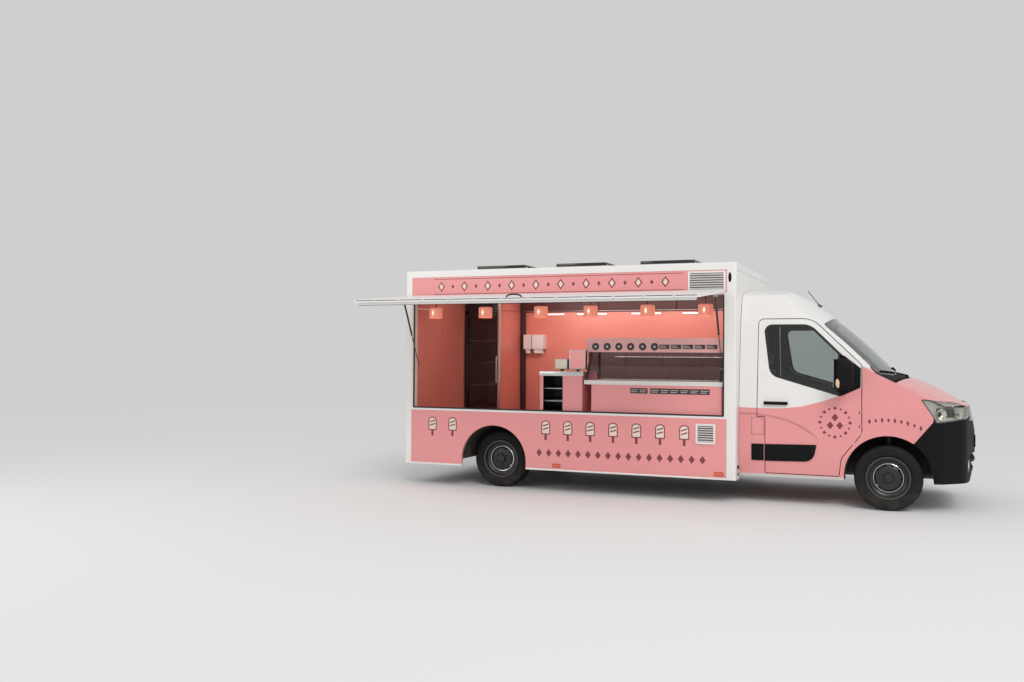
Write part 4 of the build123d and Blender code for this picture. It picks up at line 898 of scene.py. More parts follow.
class FitGlass(bpy.types.Operator):
    """Glaze the windscreen and the doors, with black borders round the panes"""

    bl_idname = "truck.fit_glass"
    bl_label = "Fit the glass"

    def execute(self, context):
        tinted = glass("Tinted cab glass", (0.60, 0.65, 0.63))
        pane("windscreen", "truck", tinted)
        border("windscreen", "windscreen_border", "truck", SCREEN_SLOPE)
        for side, hand in SIDES:
            pane(f"door_glass_{hand}", f"door_{hand}", tinted)
            border(f"door_glass_{hand}", f"door_glass_border_{hand}", f"door_{hand}", Vector((0, side, 0)))
        return {"FINISHED"}


# Side mouldings, fuel flap, mirror feet and handle cups. Columns: X, height, corner radius.
MOULDING_DOOR = [(0.934, 0.462, 0.0), (0.934, 0.642, 0.0), (1.462, 0.652, 0.008), (1.428, 0.474, 0.085)]
MOULDING_SHELL = [(0.790, 0.464, 0.004), (0.790, 0.642, 0.004), (0.920, 0.642, 0.0), (0.920, 0.464, 0.0)]
FUEL_FLAP = [(0.790, 0.742, 0.004), (0.790, 0.922, 0.004), (0.884, 0.922, 0.0), (0.916, 0.890, 0.0),
             (0.916, 0.742, 0.004)]
SAIL_PLATE = [(1.690, 1.190, 0.0), (1.690, 1.592, 0.0), (1.735, 1.592, 0.006), (1.8985, 1.462, 0.006),
              (1.8985, 1.262, 0.01), (1.704, 1.168, 0.02)]
HANDLE_CUP = oblong(0.945, 1.145, 1.052, 1.112, 0.02)


class TrimSides(bpy.types.Operator):
    """Fit the side mouldings, the mirrors' feet, the fuel flap and the door handles"""

    bl_idname = "truck.trim_sides"
    bl_label = "Trim the cab's sides"

    def execute(self, context):
        for side, hand in SIDES:
            door, shell = skin(f"door_{hand}"), skin("cab_shell")
            for name, rows, body, tree, proud, edge in (
                    ("side_moulding", MOULDING_DOOR, f"door_{hand}", door, 0.010, 0.004),
                    ("sail_plate", SAIL_PLATE, f"door_{hand}", door, 0.003, 0.0015),
                    ("sill_moulding", MOULDING_SHELL, "truck", shell, 0.010, 0.004)):
                bm = bmesh.new()
                laid(bm, rows, side, tree, proud, edge=edge)
                place_piece(f"{name}_{hand}", bm, body, [black_plastic()])
            if hand == "right":
                bm = bmesh.new()
                gap = 0.003
                rim = [(x + (gap if x > 0.85 else -gap), z + (gap if z > 0.8 else -gap), radius)
                       for x, z, radius in FUEL_FLAP]
                laid(bm, rim, side, shell, 0.0004, index=1)
                laid(bm, FUEL_FLAP, side, shell, 0.0016, edge=0.001)
                place_piece("fuel_flap", bm, "truck", [cab_paint(), rubber()])
            bm = bmesh.new()
            laid(bm, HANDLE_CUP, side, door, 0.0012, index=1, edge=0.0006)
            hit = door.ray_cast(Vector((1.043, side * BESIDE, 1.08)), Vector((0, -side, 0)))[0].y
            block(bm, (0.918, 1.169), (hit + side * 0.016, hit + side * 0.036), (1.064, 1.098), 0.008, 3)
            for x in (0.945, 1.142):
                block(bm, (x - 0.014, x + 0.014), (hit - side * 0.004, hit + side * 0.026), (1.070, 1.092), 0.004)
            place_piece(f"door_handle_{hand}", bm, f"door_{hand}", [black_plastic(), cab_paint()])
        return {"FINISHED"}


class FitMirrors(bpy.types.Operator):
    """Shape the mirrors with their arms, glasses and indicators"""

    bl_idname = "truck.fit_mirrors"
    bl_label = "Fit the mirrors"

    def execute(self, context):
        for side, hand in SIDES:
            # The arm stays as it is in the CAD; the head is shaped anew, drawn in towards its front
            bm = copied(f"mirror_{hand}")
            head = [face for face in bm.faces if abs(face.calc_center_median().y) > 1.085]
            bmesh.ops.delete(bm, geom=head, context="FACES")
            shell = bmesh.new()
            block(shell, (1.655, 1.838), (side * 1.104, side * 1.259), (1.241, 1.565), 0.052, 5)
            for vert in shell.verts:
                if vert.co.x > 1.75:
                    inset = (vert.co.x - 1.75) / 0.09
                    vert.co.z += (1.40 - vert.co.z) * 0.20 * inset
                    vert.co.y += (side * 1.165 - vert.co.y) * 0.25 * inset
            merge(bm, shell, 0)
            block(bm, (1.6495, 1.668), (side * 1.112, side * 1.251), (1.248, 1.558), 0.014, 3, index=0)
            for heights in ((1.365, 1.546), (1.262, 1.350)):
                block(bm, (1.6465, 1.6500), (side * 1.124, side * 1.240), heights, 0.0015, 2, index=1)
            bead(bm, (1.694, side * 1.250, 1.312), (0.025, 0.011, 0.050), 2)
            place_piece(f"mirror_shape_{hand}", bm, f"door_{hand}",
                        [black_plastic(), finish("Mirror glass", (0.80, 0.82, 0.84), 0.04, metallic=1.0,
                                                 spread=0.02, shade=0.03, dust=0.0),
                         lens("Indicator lens", (0.80, 0.55, 0.35), 0.006, "Z")], (f"mirror_{hand}",))
        return {"FINISHED"}


LAMP_TURN = radians(40)  # how far the lamps look outwards
LAMP_BORDER = 0.0095
LAMP_DEPTH = 0.050
# Columns: X, distance from the truck's middle, height, radius
REFLECTORS = ((2.660, 0.943, 1.002, 0.054), (2.822, 0.794, 0.998, 0.034))


class FitHeadlamps(bpy.types.Operator):
    """Build the headlamps: a black surround, a pale bowl, two reflectors and a clear cover"""

    bl_idname = "truck.fit_headlamps"
    bl_label = "Fit the headlamps"

    def execute(self, context):
        cover = glass("Lamp cover", (0.96, 0.96, 0.95))

        def bowl_pattern(made):
            axes = made.axes()
            dark = made.math("MULTIPLY", within(made, axes["X"], 2.618, 2.790, 0.006),
                             within(made, axes["Z"], 0.966, 1.064, 0.004))
            return made.mix(dark, (0.74, 0.73, 0.66), (0.035, 0.036, 0.038))

        pale = finish("Lamp bowl", (0.66, 0.65, 0.56), 0.25, metallic=0.25, shade=0.08, dust=0.0, grain=200.0,
                      depth=0.00005, paint=bowl_pattern)
        reflector = finish("Lamp reflector", (0.82, 0.80, 0.70), 0.16, metallic=0.55, spread=0.04, dust=0.0)
        for side, hand in SIDES:
            outward = Vector((sin(LAMP_TURN), side * cos(LAMP_TURN), 0.0))
            bm = copied("headlamps")
            bm.normal_update()
            rest = [face for face in bm.faces
                    if face.calc_center_median().y * side < 0 or face.normal.dot(outward) < 0.30]
            bmesh.ops.delete(bm, geom=rest, context="FACES")
            bmesh.ops.dissolve_limit(bm, angle_limit=radians(0.6), verts=bm.verts, edges=bm.edges)
            outer = bm.copy()
            grown = bmesh.ops.extrude_face_region(outer, geom=outer.faces[:])["geom"]
            bmesh.ops.translate(outer, verts=new_verts(grown), vec=-outward * 0.0025)
            middle_faces = bm.faces[:]
            bmesh.ops.inset_region(bm, faces=middle_faces, thickness=LAMP_BORDER, use_boundary=True,
                                   use_even_offset=True)
            ring = set(bm.faces) - set(middle_faces)
            bmesh.ops.translate(bm, verts=bm.verts, vec=-outward * 0.003)
            deep = bmesh.ops.extrude_face_region(bm, geom=middle_faces)["geom"]
            bmesh.ops.translate(bm, verts=new_verts(deep), vec=-outward * LAMP_DEPTH)
            bmesh.ops.delete(bm, geom=middle_faces, context="FACES_ONLY")
            for face in bm.faces:
                face.material_index = 0 if face in ring else 1
            aim = Vector((0.66, side * 0.75, 0.0)).normalized()
            for x, y, z, radius in REFLECTORS:
                middle = Vector((x, side * y, z))
                bowl = [(-0.030, 0.004), (-0.024, radius * 0.45), (-0.008, radius * 0.82), (0.012, radius),
                        (0.016, radius + 0.004), (0.010, radius + 0.005), (-0.012, radius * 0.86),
                        (-0.036, radius * 0.40), (-0.040, 0.004)]
                turned(bm, bowl, middle, aim, 32, 2)
                turned(bm, [(-0.032, 0.0), (-0.032, 0.012), (-0.010, 0.012), (-0.004, 0.008), (0.0, 0.0)],
                       middle, aim, 20, 0, closed=False)
            place_piece(f"headlamp_bowl_{hand}", bm, "truck", [gloss_black(), pale, reflector],
                        closed=False)
            piece = place_piece(f"headlamp_cover_{hand}", outer, "truck", [cover])
            if side > 0:
                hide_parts("headlamps")
        return {"FINISHED"}


class FitFront(bpy.types.Operator):
    """Fit the wipers, the aerial, the grille's strip, the front plate and the fog lamps"""

    bl_idname = "truck.fit_front"
    bl_label = "Fit the front"

    def execute(self, context):
        screen = skin("windscreen", "cowl")
        back = Vector((-1, 0, 0))

        def on_screen(y, z, proud):
            hit = screen.ray_cast(Vector((AHEAD, y, z)), back)
            return hit[0] + hit[1] * proud

        bm = bmesh.new()
        for pivot_y, tip_y in ((0.50, -0.10), (-0.18, -0.72)):
            arm = []
            for i in range(9):
                share = i / 8
                z = 1.405 + 0.055 * share - 0.045 * abs(pivot_y + (tip_y - pivot_y) * share)
                arm.append(on_screen(pivot_y + (tip_y - pivot_y) * share, z, 0.014))
            wire(bm, arm, 0.005)
            wire(bm, [point - Vector((0.004, 0.0, 0.006)) for point in arm[2:]], 0.008)
            foot = on_screen(pivot_y + 0.02, 1.365, 0.004)
            wire(bm, [foot, foot + Vector((0.006, -0.01, 0.016)), arm[1]], 0.008)
            drum(bm, foot, SCREEN_SLOPE, 0.017, 0.024, 20, rounding=0.004)
        place_piece("wipers", bm, "truck", [black_plastic()])

        roof = skin("cab_shell")
        foot = roof.ray_cast(Vector((1.397, 0, 3.0)), Vector((0, 0, -1)))[0]
        bm = bmesh.new()
        block(bm, (foot.x - 0.030, foot.x + 0.030), (-0.016, 0.016), (foot.z - 0.004, foot.z + 0.016), 0.006, 3)
        wire(bm, [foot + Vector((0, 0, 0.012)), Vector((1.272, 0, foot.z + 0.180))], 0.004)
        drum(bm, (foot.x - 0.008, 0, foot.z + 0.026), (-0.57, 0, 0.82), 0.009, 0.030, 16, top=0.005)
        place_piece("roof_aerial", bm, "truck", [rubber()])

        grille = skin("upper_grille")
        bm = bmesh.new()
        strip = []
        for i in range(23):
            hit = grille.ray_cast(Vector((AHEAD, -0.552 + i * 0.0502, 0.930)), back)[0]
            strip.append(hit + Vector((0.001, 0.0, 0.0)))
        wire(bm, strip, 0.0045)
        place_piece("grille_strip", bm, "truck", [bright_metal()])
        nose = skin("front_bumper")
        bm = bmesh.new()
        at = nose.ray_cast(Vector((AHEAD, 0, 0.70)), back)[0].x
        block(bm, (at - 0.004, at + 0.006), (-0.268, 0.268), (0.632, 0.758), 0.004, 2, index=0)
        block(bm, (at + 0.005, at + 0.0085), (-0.260, 0.260), (0.640, 0.750), 0.002, 2, index=1)
        place_piece("front_plate", bm, "truck", [black_plastic(), white_paint()])
        bm = bmesh.new()
        for side, _ in SIDES:
            spot = nose.ray_cast(Vector((AHEAD, side * 0.64, 0.47)), back)
            aim = Vector((1.0, side * 0.35, 0.0)).normalized()
            middle = spot[0] - aim * 0.002
            turned(bm, [(-0.012, 0.044), (0.004, 0.044), (0.007, 0.052), (0.004, 0.060), (-0.012, 0.060)],
                   middle, aim, 36, 0)
            turned(bm, [(-0.010, 0.0), (-0.010, 0.045), (0.000, 0.045), (0.003, 0.030), (0.004, 0.0)],
                   middle, aim, 36, 1, closed=False)
        place_piece("fog_lamps", bm, "truck",
                    [gloss_black(), lens("Fog lens", (0.62, 0.62, 0.60), 0.01, "Y")])
        return {"FINISHED"}


# ---------------------------------------------------------------- cabin


def cushion(low, high, crown, lean=None):
    """A padded form between two corners, crowned on every face, with its sides pulled in between the corners."""
    low, high = Vector(low), Vector(high)
    bm = bmesh.new()
    bmesh.ops.create_cube(bm, size=2.0)
    bmesh.ops.subdivide_edges(bm, edges=bm.edges[:], cuts=13, use_grid_fill=True)
    middle, half = (low + high) / 2, (high - low) / 2
    for vert in bm.verts:
        u = vert.co.copy()
        swell = ((1 - u.y ** 4) * (1 - u.z ** 4), (1 - u.x ** 4) * (1 - u.z ** 4), (1 - u.x ** 4) * (1 - u.y ** 4))
        for axis in range(3):
            vert.co[axis] = middle[axis] + u[axis] * (half[axis] - crown + crown * swell[axis])
    for _ in range(3):
        bmesh.ops.smooth_vert(bm, verts=bm.verts, factor=0.5, use_axis_x=True, use_axis_y=True, use_axis_z=True)
    if lean:
        bmesh.ops.transform(bm, matrix=lean, verts=bm.verts)
    return bm


def puffed(piece, cap):
    """Fill the pad like blown-up cloth, each point held to a short way from where it was."""
    scene = bpy.context.scene
    work = bpy.data.objects.new("pad_work", piece.data.copy())
    scene.collection.objects.link(work)
    remesh = work.modifiers.new("Remesh", "REMESH")
    remesh.mode = "VOXEL"
    remesh.voxel_size = 0.009
    base = bpy.data.meshes.new_from_object(work.evaluated_get(bpy.context.evaluated_depsgraph_get()))
    work.modifiers.clear()
    work.data = base
    start = [vert.co.copy() for vert in base.vertices]
    cloth = work.modifiers.new("Cloth", "CLOTH")
    cloth.settings.use_pressure = True
    cloth.settings.uniform_pressure_force = 4.0
    cloth.settings.effector_weights.gravity = 0.0
    cloth.point_cache.frame_start = 1
    cloth.point_cache.frame_end = 20
    for frame_number in range(1, 21):
        scene.frame_set(frame_number)
    full = bpy.data.meshes.new_from_object(work.evaluated_get(bpy.context.evaluated_depsgraph_get()))
    for vert, origin in zip(full.vertices, start):
        move = vert.co - origin
        if move.length > cap:
            vert.co = origin + move.normalized() * cap
    scene.frame_set(1)
    bpy.data.objects.remove(work)
    full.materials.clear()
    for material in piece.data.materials:
        full.materials.append(material)
    piece.data = full
    full.shade_smooth()


def sewn(piece, lines, depth=0.007, width=0.014):
    """Press sewn channels into a pad, each at its own Y."""
    bm = bmesh.new()
    bm.from_mesh(piece.data)
    bm.normal_update()
    for vert in bm.verts:
        for line in lines:
            near = abs(vert.co.y - line) / width
            if near < 1.0:
                vert.co -= vert.normal * depth * (1 - near ** 2) * (1 - abs(vert.normal.y))
    bm.to_mesh(piece.data)
    bm.free()
    piece.data.shade_smooth()


def piping(bm, piece, corners, steps=10):
    """Lay a round piping on a pad, along a loop of corners."""
    part = bmesh.new()
    part.from_mesh(piece.data)
    tree = BVHTree.FromBMesh(part)
    part.free()
    points = []
    for start, end in zip(corners, corners[1:] + corners[:1]):
        for i in range(steps):
            hit = tree.find_nearest(Vector(start).lerp(Vector(end), i / steps))
            points.append(hit[0] + hit[1] * 0.001)
    wire(bm, points, 0.0035, cyclic=True)


class UpholsterCab(bpy.types.Operator):
    """Upholster the cab seats and finish the steering wheel and the dashboard"""

    bl_idname = "truck.upholster_cab"
    bl_label = "Upholster the cab"

    def execute(self, context):
        stands_for = ("cab_seats",)
        trim = bmesh.new()
        lean = Matrix.Translation((FRONT_AXLE - 1.336, 0, 1.12)) @ Matrix.Rotation(radians(-6), 4, "Y")
        for low, high in ((0.18, 0.70), (-0.70, -0.32), (-0.32, 0.06)):
            middle = (low + high) / 2
            side = "driver" if low > 0 else "middle" if high > 0 else "window"
            x0, x1 = FRONT_AXLE - 1.385, FRONT_AXLE - 0.855
            pads = (
                ("cushion", cushion((x0, low + 0.008, 0.722), (x1, high - 0.008, 0.862), 0.018), 0.012, 1,
                 [(x0, low, 0.80), (x1, low, 0.80), (x1, high, 0.80), (x0, high, 0.80)]),
                ("back", cushion((-0.055, low + 0.010, -0.325), (0.030, high - 0.010, 0.325), 0.016, lean), 0.010, 1,
                 [lean @ Vector((0.0, low, -0.33)), lean @ Vector((0.0, low, 0.33)), lean @ Vector((0.0, high, 0.33)),
                  lean @ Vector((0.0, high, -0.33))]),
                ("headrest", cushion((FRONT_AXLE - 1.424, middle - 0.124, 1.476),
                                     (FRONT_AXLE - 1.346, middle + 0.124, 1.630), 0.014), 0.008, 0, []),
            )
            for part, bm, cap, seams, loop in pads:
                piece = place_piece(f"seat_{part}_{side}", bm, "truck", [fabric()], stands_for,
                                    sharp=180.0)
                stands_for = ()
                puffed(piece, cap)
                if seams:
                    sewn(piece, (middle - 0.11, middle + 0.11))
                    piping(trim, piece, loop)
                soft = piece.modifiers.new("Subdivision", "SUBSURF")
                soft.levels = soft.render_levels = 1
            for y in (middle - 0.06, middle + 0.06):
                drum(trim, (FRONT_AXLE - 1.385, y, 1.455), (0, 0, 1), 0.006, 0.10, 12, 1)
        for low, high in ((0.18, 0.70), (-0.70, 0.06)):
            block(trim, (FRONT_AXLE - 1.345, FRONT_AXLE - 0.905), (low + 0.045, high - 0.045),
                  (FLOOR_TOP + 0.006, 0.726), 0.02, 3, 2)
        place_piece("seat_trim", trim, "truck", [rubber(), bright_metal(), trim_grey()])
        bm = bmesh.new()
        centre = Vector((FRONT_AXLE - 0.6, 0.43, 1.15))
        column = Vector((0.27, 0.0, -0.16)).normalized()
        rim = [(0.014 * sin(2 * pi * i / 12), 0.190 + 0.014 * cos(2 * pi * i / 12)) for i in range(12)]
        turned(bm, rim, centre, column, 64)
        turned(bm, [(0.014, 0.0), (0.014, 0.046), (-0.004, 0.052), (-0.012, 0.046), (-0.014, 0.0)], centre, column, 40,
               closed=False)
        turned(bm, [(0.02, 0.022), (0.31, 0.022), (0.31, 0.0), (0.02, 0.0)], centre, column, 24, closed=False)
        across = column.cross(Vector((0, 1, 0))).normalized()
        for angle in (90, 210, 330):
            reach = Vector((0, 1, 0)) * cos(radians(angle + 90)) + across * sin(radians(angle + 90))
            wire(bm, [centre + reach * 0.03, centre + reach * 0.185], 0.010, sides=3)
        place_piece("steering_wheel_rim", bm, "truck", [trim_grey()], ("steering_wheel",))
        bm = bmesh.new()
        x0 = FRONT_AXLE - 0.41
        block(bm, (x0, x0 + 0.10), (0.27, 0.59), (1.235, 1.285), 0.02, 3)
        for y in (-0.70, -0.20, 0.16, 0.76):
            block(bm, (x0 - 0.022, x0 + 0.012), (y - 0.07, y + 0.07), (1.10, 1.155), 0.008, 2)
            for i in range(4):
                block(bm, (x0 - 0.026, x0 - 0.018), (y - 0.06, y + 0.06), (1.108 + i * 0.011, 1.112 + i * 0.011))
        block(bm, (x0 - 0.026, x0), (-0.12, 0.12), (0.98, 1.075), 0.006, 2, index=1)
        place_piece("dash_fittings", bm, "truck", [trim_grey(), gloss_black()])
        return {"FINISHED"}


# ---------------------------------------------------------------- wheels


# Wheel and tyre profiles. Columns: distance from the wheel's middle plane, radius.
TYRE_RADIUS = 0.3350
TYRE_OUTER = [(0.0937, 0.2083), (0.0937, 0.2225), (0.1000, 0.2300), (0.1085, 0.2420), (0.1118, 0.2580),
              (0.1124, 0.2680), (0.1112, 0.2700), (0.1112, 0.2860), (0.1122, 0.2885), (0.1100, 0.3020),
              (0.1035, 0.3190), (0.0950, 0.3295), (0.0860, 0.3345)]
TYRE_GROOVES = ((0.0500, 0.0600), (0.0130, 0.0225))
TYRE_INNER = [(-0.078, 0.2083), (-0.080, 0.232), (-0.098, 0.258), (-0.094, 0.300), (-0.070, 0.318),
              (0.070, 0.318), (0.094, 0.300), (0.098, 0.258), (0.080, 0.232), (0.078, 0.2083)]
TRIM_RING = [(0.044, 0.139), (0.052, 0.140), (0.057, 0.143), (0.058, 0.147), (0.056, 0.151), (0.050, 0.154),
             (0.044, 0.155)]
TRIM_LIP = [(0.100, 0.2180), (0.1015, 0.2165), (0.1015, 0.2110), (0.100, 0.2095), (0.096, 0.2095), (0.096, 0.2180)]
TRIM_CAP = [(0.080, 0.0), (0.080, 0.046), (0.090, 0.050), (0.100, 0.044), (0.103, 0.030), (0.103, 0.0)]
TYRE_STEPS = 108  # a whole number of threes, for the tread's blocks


class BuildWheels(bpy.types.Operator):
    """Build four treaded tyres and the wheels' trims, bolts and valves"""

    bl_idname = "truck.build_wheels"
    bl_label = "Build the wheels"

    def execute(self, context):
        floor = TYRE_RADIUS - sizes().tread_depth
        half = list(TYRE_OUTER)
        for low, high in TYRE_GROOVES:
            half += [(high, TYRE_RADIUS), (high - 0.001, floor), (low + 0.001, floor), (low, TYRE_RADIUS)]
        rows = half + [(-away, radius) for away, radius in reversed(half)] + TYRE_INNER
        for end, x, track in (("front", FRONT_AXLE, 1.750), ("rear", -FRONT_AXLE, 1.730)):
            for side, hand in SIDES:
                centre = Vector((x, side * track / 2, AXLE_HEIGHT))
                bm = bmesh.new()
                turned(bm, rows, centre, (0, 1, 0), TYRE_STEPS)
                bm.normal_update()
                blocks = []
                for face in bm.faces:
                    middle = face.calc_center_median() - centre
                    radius = Vector((middle.x, middle.z)).length
                    away = abs(middle.y)
                    if face.normal.dot(Vector((middle.x, 0, middle.z)).normalized()) < 0.6 or radius < 0.322:
                        continue
                    turn = Vector((middle.x, middle.z)).angle_signed(Vector((1, 0)), 0.0) / (2 * pi)
                    step = round(turn * TYRE_STEPS - 0.5) % 3
                    if (0.060 < away < 0.0955 and step == 0) or (0.0225 < away < 0.050 and step == 1):
                        blocks.append(face)
                bmesh.ops.inset_individual(bm, faces=blocks, thickness=0.0012, depth=-0.0045)
                place_piece(f"tyre_tread_{end}_{hand}", bm, f"wheel_{end}_{hand}", [tyre_rubber()],
                            (f"tyre_{end}_{hand}",), sharp=30.0)
                bm = bmesh.new()
                out = Vector((0, side, 0))
                turned(bm, TRIM_RING, centre, out, 96, 0)
                # The lip ring in paler grey: painted highlight of the lit rim lip
                turned(bm, TRIM_LIP, centre, out, 108, 3)
                turned(bm, TRIM_CAP, centre, out, 48, 2, closed=False)
                for i in range(6):
                    angle = radians(30 + 60 * i)
                    spot = centre + Vector((cos(angle), 0, sin(angle))) * 0.066 + out * 0.086
                    drum(bm, spot, out, 0.0125, 0.020, 6, 2, rounding=0.002)
                valve = centre + Vector((cos(2.2), 0, sin(2.2))) * 0.186 + out * 0.060
                drum(bm, valve, out, 0.005, 0.036, 12, 1)
                place_piece(f"wheel_trim_{end}_{hand}", bm, f"wheel_{end}_{hand}",
                            [bright_metal(), gloss_black(), wheel_enamel(), wheel_lip_highlight()])
        dress(wheel_enamel(), "rim_front_left", "rim_front_right", "rim_rear_left", "rim_rear_right")
        return {"FINISHED"}


# ---------------------------------------------------------------- box


def flap_point(x, out, up):
    """A point on the open flap, from its distance out from the hinge and above its plane."""
    y = FLAP_AXIS[0] - out * cos(FLAP_DROOP) - up * sin(FLAP_DROOP)
    z = FLAP_AXIS[1] - out * sin(FLAP_DROOP) + up * cos(FLAP_DROOP)
    return Vector((x, y, z))


def flap_block(bm, x, out, up, deep, tall, rounding, segments):
    """A block along the open flap. It reaches out and in from its spot by deep, and up and down by tall."""
    spot = flap_point(sum(x) / 2, out, up)
    block(bm, x, (spot.y - deep[0], spot.y + deep[1]), (spot.z - tall, spot.z + tall), rounding, segments,
          turn=Matrix.Rotation(FLAP_DROOP, 4, "X"))


def lolly(bm, x, z, face, scale):
    """A plain lolly on a stick as a thin film on a side panel."""
    wide, low, high = 0.030 * scale, -0.030 * scale, 0.056 * scale
    for inset, lift, index in ((0.0, 0.0003, 0), (0.0065 * scale, 0.0006, 1)):
        corner = (0.026 * scale) - inset
        rows = [(x - wide + inset, z + low + inset, 0.006), (x - wide + inset, z + high - inset, corner),
                (x + wide - inset, z + high - inset, corner), (x + wide - inset, z + low + inset, 0.006)]
        film(bm, rows, face, lift, index)
    stick = 0.008 * scale
    film(bm, [(x - stick, z - 0.066 * scale, 0.005), (x - stick, z + low, 0), (x + stick, z + low, 0),
              (x + stick, z - 0.066 * scale, 0.005)], face, 0.0004, 0)
    for rise in (-0.004, 0.018):
        rows = [(x - 0.019 * scale, z + rise * scale, 0), (x - 0.019 * scale, z + (rise + 0.008) * scale, 0),
                (x + 0.019 * scale, z + (rise + 0.020) * scale, 0), (x + 0.019 * scale, z + (rise + 0.012) * scale, 0)]
        film(bm, rows, face, 0.0009, 0)


def film(bm, rows, face, lift, index, edge=0.0):
    """A thin flat shape on a side of the truck. Rows give X, Z and corner radius."""
    outward = 1 if face > 0 else -1
    part = bmesh.new()
    shape(part, rows, lambda x, z: (x, face, z))
    grown = bmesh.ops.extrude_face_region(part, geom=part.faces[:])["geom"]
    top = new_verts(grown)
    bmesh.ops.translate(part, verts=top, vec=(0, outward * lift, 0))
    bmesh.ops.recalc_face_normals(part, faces=part.faces)
    if edge:
        known = set(top)
        rounded(part, [e for e in part.edges if known >= set(e.verts)], edge, 3)
    merge(bm, part, index)


class DecoratePanels(bpy.types.Operator):
    """Lay the plain decoration on the fascias, the side panels, the cab doors and the wings"""

    bl_idname = "truck.decorate_panels"
    bl_label = "Decorate the panels"

    def execute(self, context):
        maroon = finish("Maroon film", colours().maroon, 0.4, spread=0.04, shade=0.06, dust=0.1, grain=500.0,
                        depth=0.00002)
        cream = finish("Cream film", (0.80, 0.66, 0.58), 0.42, spread=0.04, shade=0.05, dust=0.1, grain=500.0,
                       depth=0.00002)
        for side, hand in SIDES:
            face = side * (PANEL_FACE + 0.0002)
            bm = bmesh.new()
            for i in range(19):
                x = -2.86 + i * 0.1525
                if i % 2 == 0:
                    film(bm, lozenge(x, 2.392, 0.046, 0.062), face, 0.0006, 0)
                    film(bm, lozenge(x, 2.392, 0.028, 0.040), face, 0.0009, 1)
                else:
                    film(bm, lozenge(x, 2.392, 0.020, 0.027), face, 0.0006, 0)
            for z in (2.302, 2.482):
                film(bm, oblong(-2.96, 0.08, z - 0.003, z + 0.003), face, 0.0005, 0)
            place_piece(f"fascia_band_{hand}", bm, "truck", [maroon, cream])
            bm = bmesh.new()
            for start, stop in ((0.100, -1.72), (-2.70, -3.2)):
                x = start
                while x > stop:
                    lolly(bm, x, 0.722, face, 1.85)
                    x -= sizes().motif_pitch
            for i in range(17):
                film(bm, lozenge(0.30 - i * 0.118, 0.455, 0.034, 0.046), face, 0.0006, 0)
            place_piece(f"panel_motifs_{hand}", bm, "truck", [maroon, cream])
        door_x, door_z = 1.646, 0.893
        for side, hand in SIDES:
            bm = bmesh.new()
            door = skin(f"door_{hand}")
            marks = []
            for i in range(16):
                angle = 2 * pi * i / 16
                size = 0.013 if i % 2 else 0.020
                marks.append((door_x + 0.150 * cos(angle), door_z + 0.150 * sin(angle), size, size))
            for dx, dz in ((0.0, 0.052), (-0.048, -0.030), (0.048, -0.030)):
                marks.append((door_x + dx, door_z + dz, 0.034, 0.042))
            for mark in marks:
                laid(bm, lozenge(*mark), side, door, 0.0008, step=0.02)
            place_piece(f"door_motif_{hand}", bm, f"door_{hand}", [maroon])
            bm = bmesh.new()
            wing = skin("cab_shell")
            for i in range(9):
                share = i / 8
                z = 0.915 + 0.035 * sin(pi * share * 0.8) - 0.075 * share ** 2
                mark = lozenge(1.985 + 0.49 * share, z, 0.014, 0.022 if i % 2 else 0.030)
                laid(bm, mark, side, wing, 0.0008, step=0.02)
            place_piece(f"fender_motif_{hand}", bm, "truck", [maroon])
        return {"FINISHED"}


class FitHatch(bpy.types.Operator):
    """Fit the hatch's seal and the flap's handle, gaskets and edging, with a dark strip of painted shadow under the
    hinge
    """

    bl_idname = "truck.fit_hatch"
    bl_label = "Fit the hatch"

    def execute(self, context):
        low, high = HATCH_X
        bm = bmesh.new()
        for x, z in (((low - 0.004, low + 0.010), (0.933, 2.235)), ((high - 0.010, high + 0.004), (0.933, 2.235)),
                     ((low, high), (0.929, 0.945))):
            block(bm, x, (-1.202, -1.180), z, 0.003, 2)
        place_piece("hatch_seal", bm, "truck", [rubber()])

        bm = bmesh.new()
        ends, foot = (-1.440, -1.276), 0.030
        for x in ends:
            drum(bm, flap_point(x, FLAP_HANDLE, foot + 0.002), (0, -sin(FLAP_DROOP), cos(FLAP_DROOP)), 0.011, 0.006, 20)
        bow = []
        for share, up in ((0.0, foot), (0.02, 0.044), (0.2, 0.056), (0.5, 0.060), (0.8, 0.056), (0.98, 0.044),
                          (1.0, foot)):
            bow.append(flap_point(ends[0] + share * (ends[1] - ends[0]), FLAP_HANDLE + (up - foot) * 0.4, up))
        wire(bm, bow, 0.0075, smooth=True)
        place_piece("flap_handle", bm, "hatch", [black_plastic()])

        start, end = low - 0.010, high + 0.010
        bm = bmesh.new()
        # The strip along the underside by the hinge is dark rubber as painted shadow of the gap between the frame and
        # the flap
        flap_block(bm, (start, end), 0.06, -0.003, (0.006, 0.006), 0.003, 0.002, 2)
        flap_block(bm, LIP_X, FLAP_LIP, -0.031, (0.006, 0.006), 0.003, 0.002, 2)
        board = sizes().flap_board
        at = start
        while at < end - 0.05:
            stop = min((at // board + 1) * board, end)
            if stop - at > 0.04:
                flap_block(bm, (at + 0.012, stop - 0.012), FLAP_EDGE, 0.020, (0.0008, 0.0016), 0.0035, 0.0006, 1)
            at = stop
        place_piece("flap_gasket_and_shadow_strip", bm, "hatch", [rubber()])

        bm = bmesh.new()
        flap_block(bm, LIP_X, FLAP_LIP, -0.0140, (0.0125, 0.0125), 0.0150, 0.003, 3)
        for x in (start + 0.002, end - 0.002):
            flap_block(bm, (x - 0.0035, x + 0.0035), 0.68, 0.015, (0.655, 0.655), 0.0165, 0.002, 2)
        place_piece("flap_edging", bm, "hatch", [white_paint()])
        return {"FINISHED"}


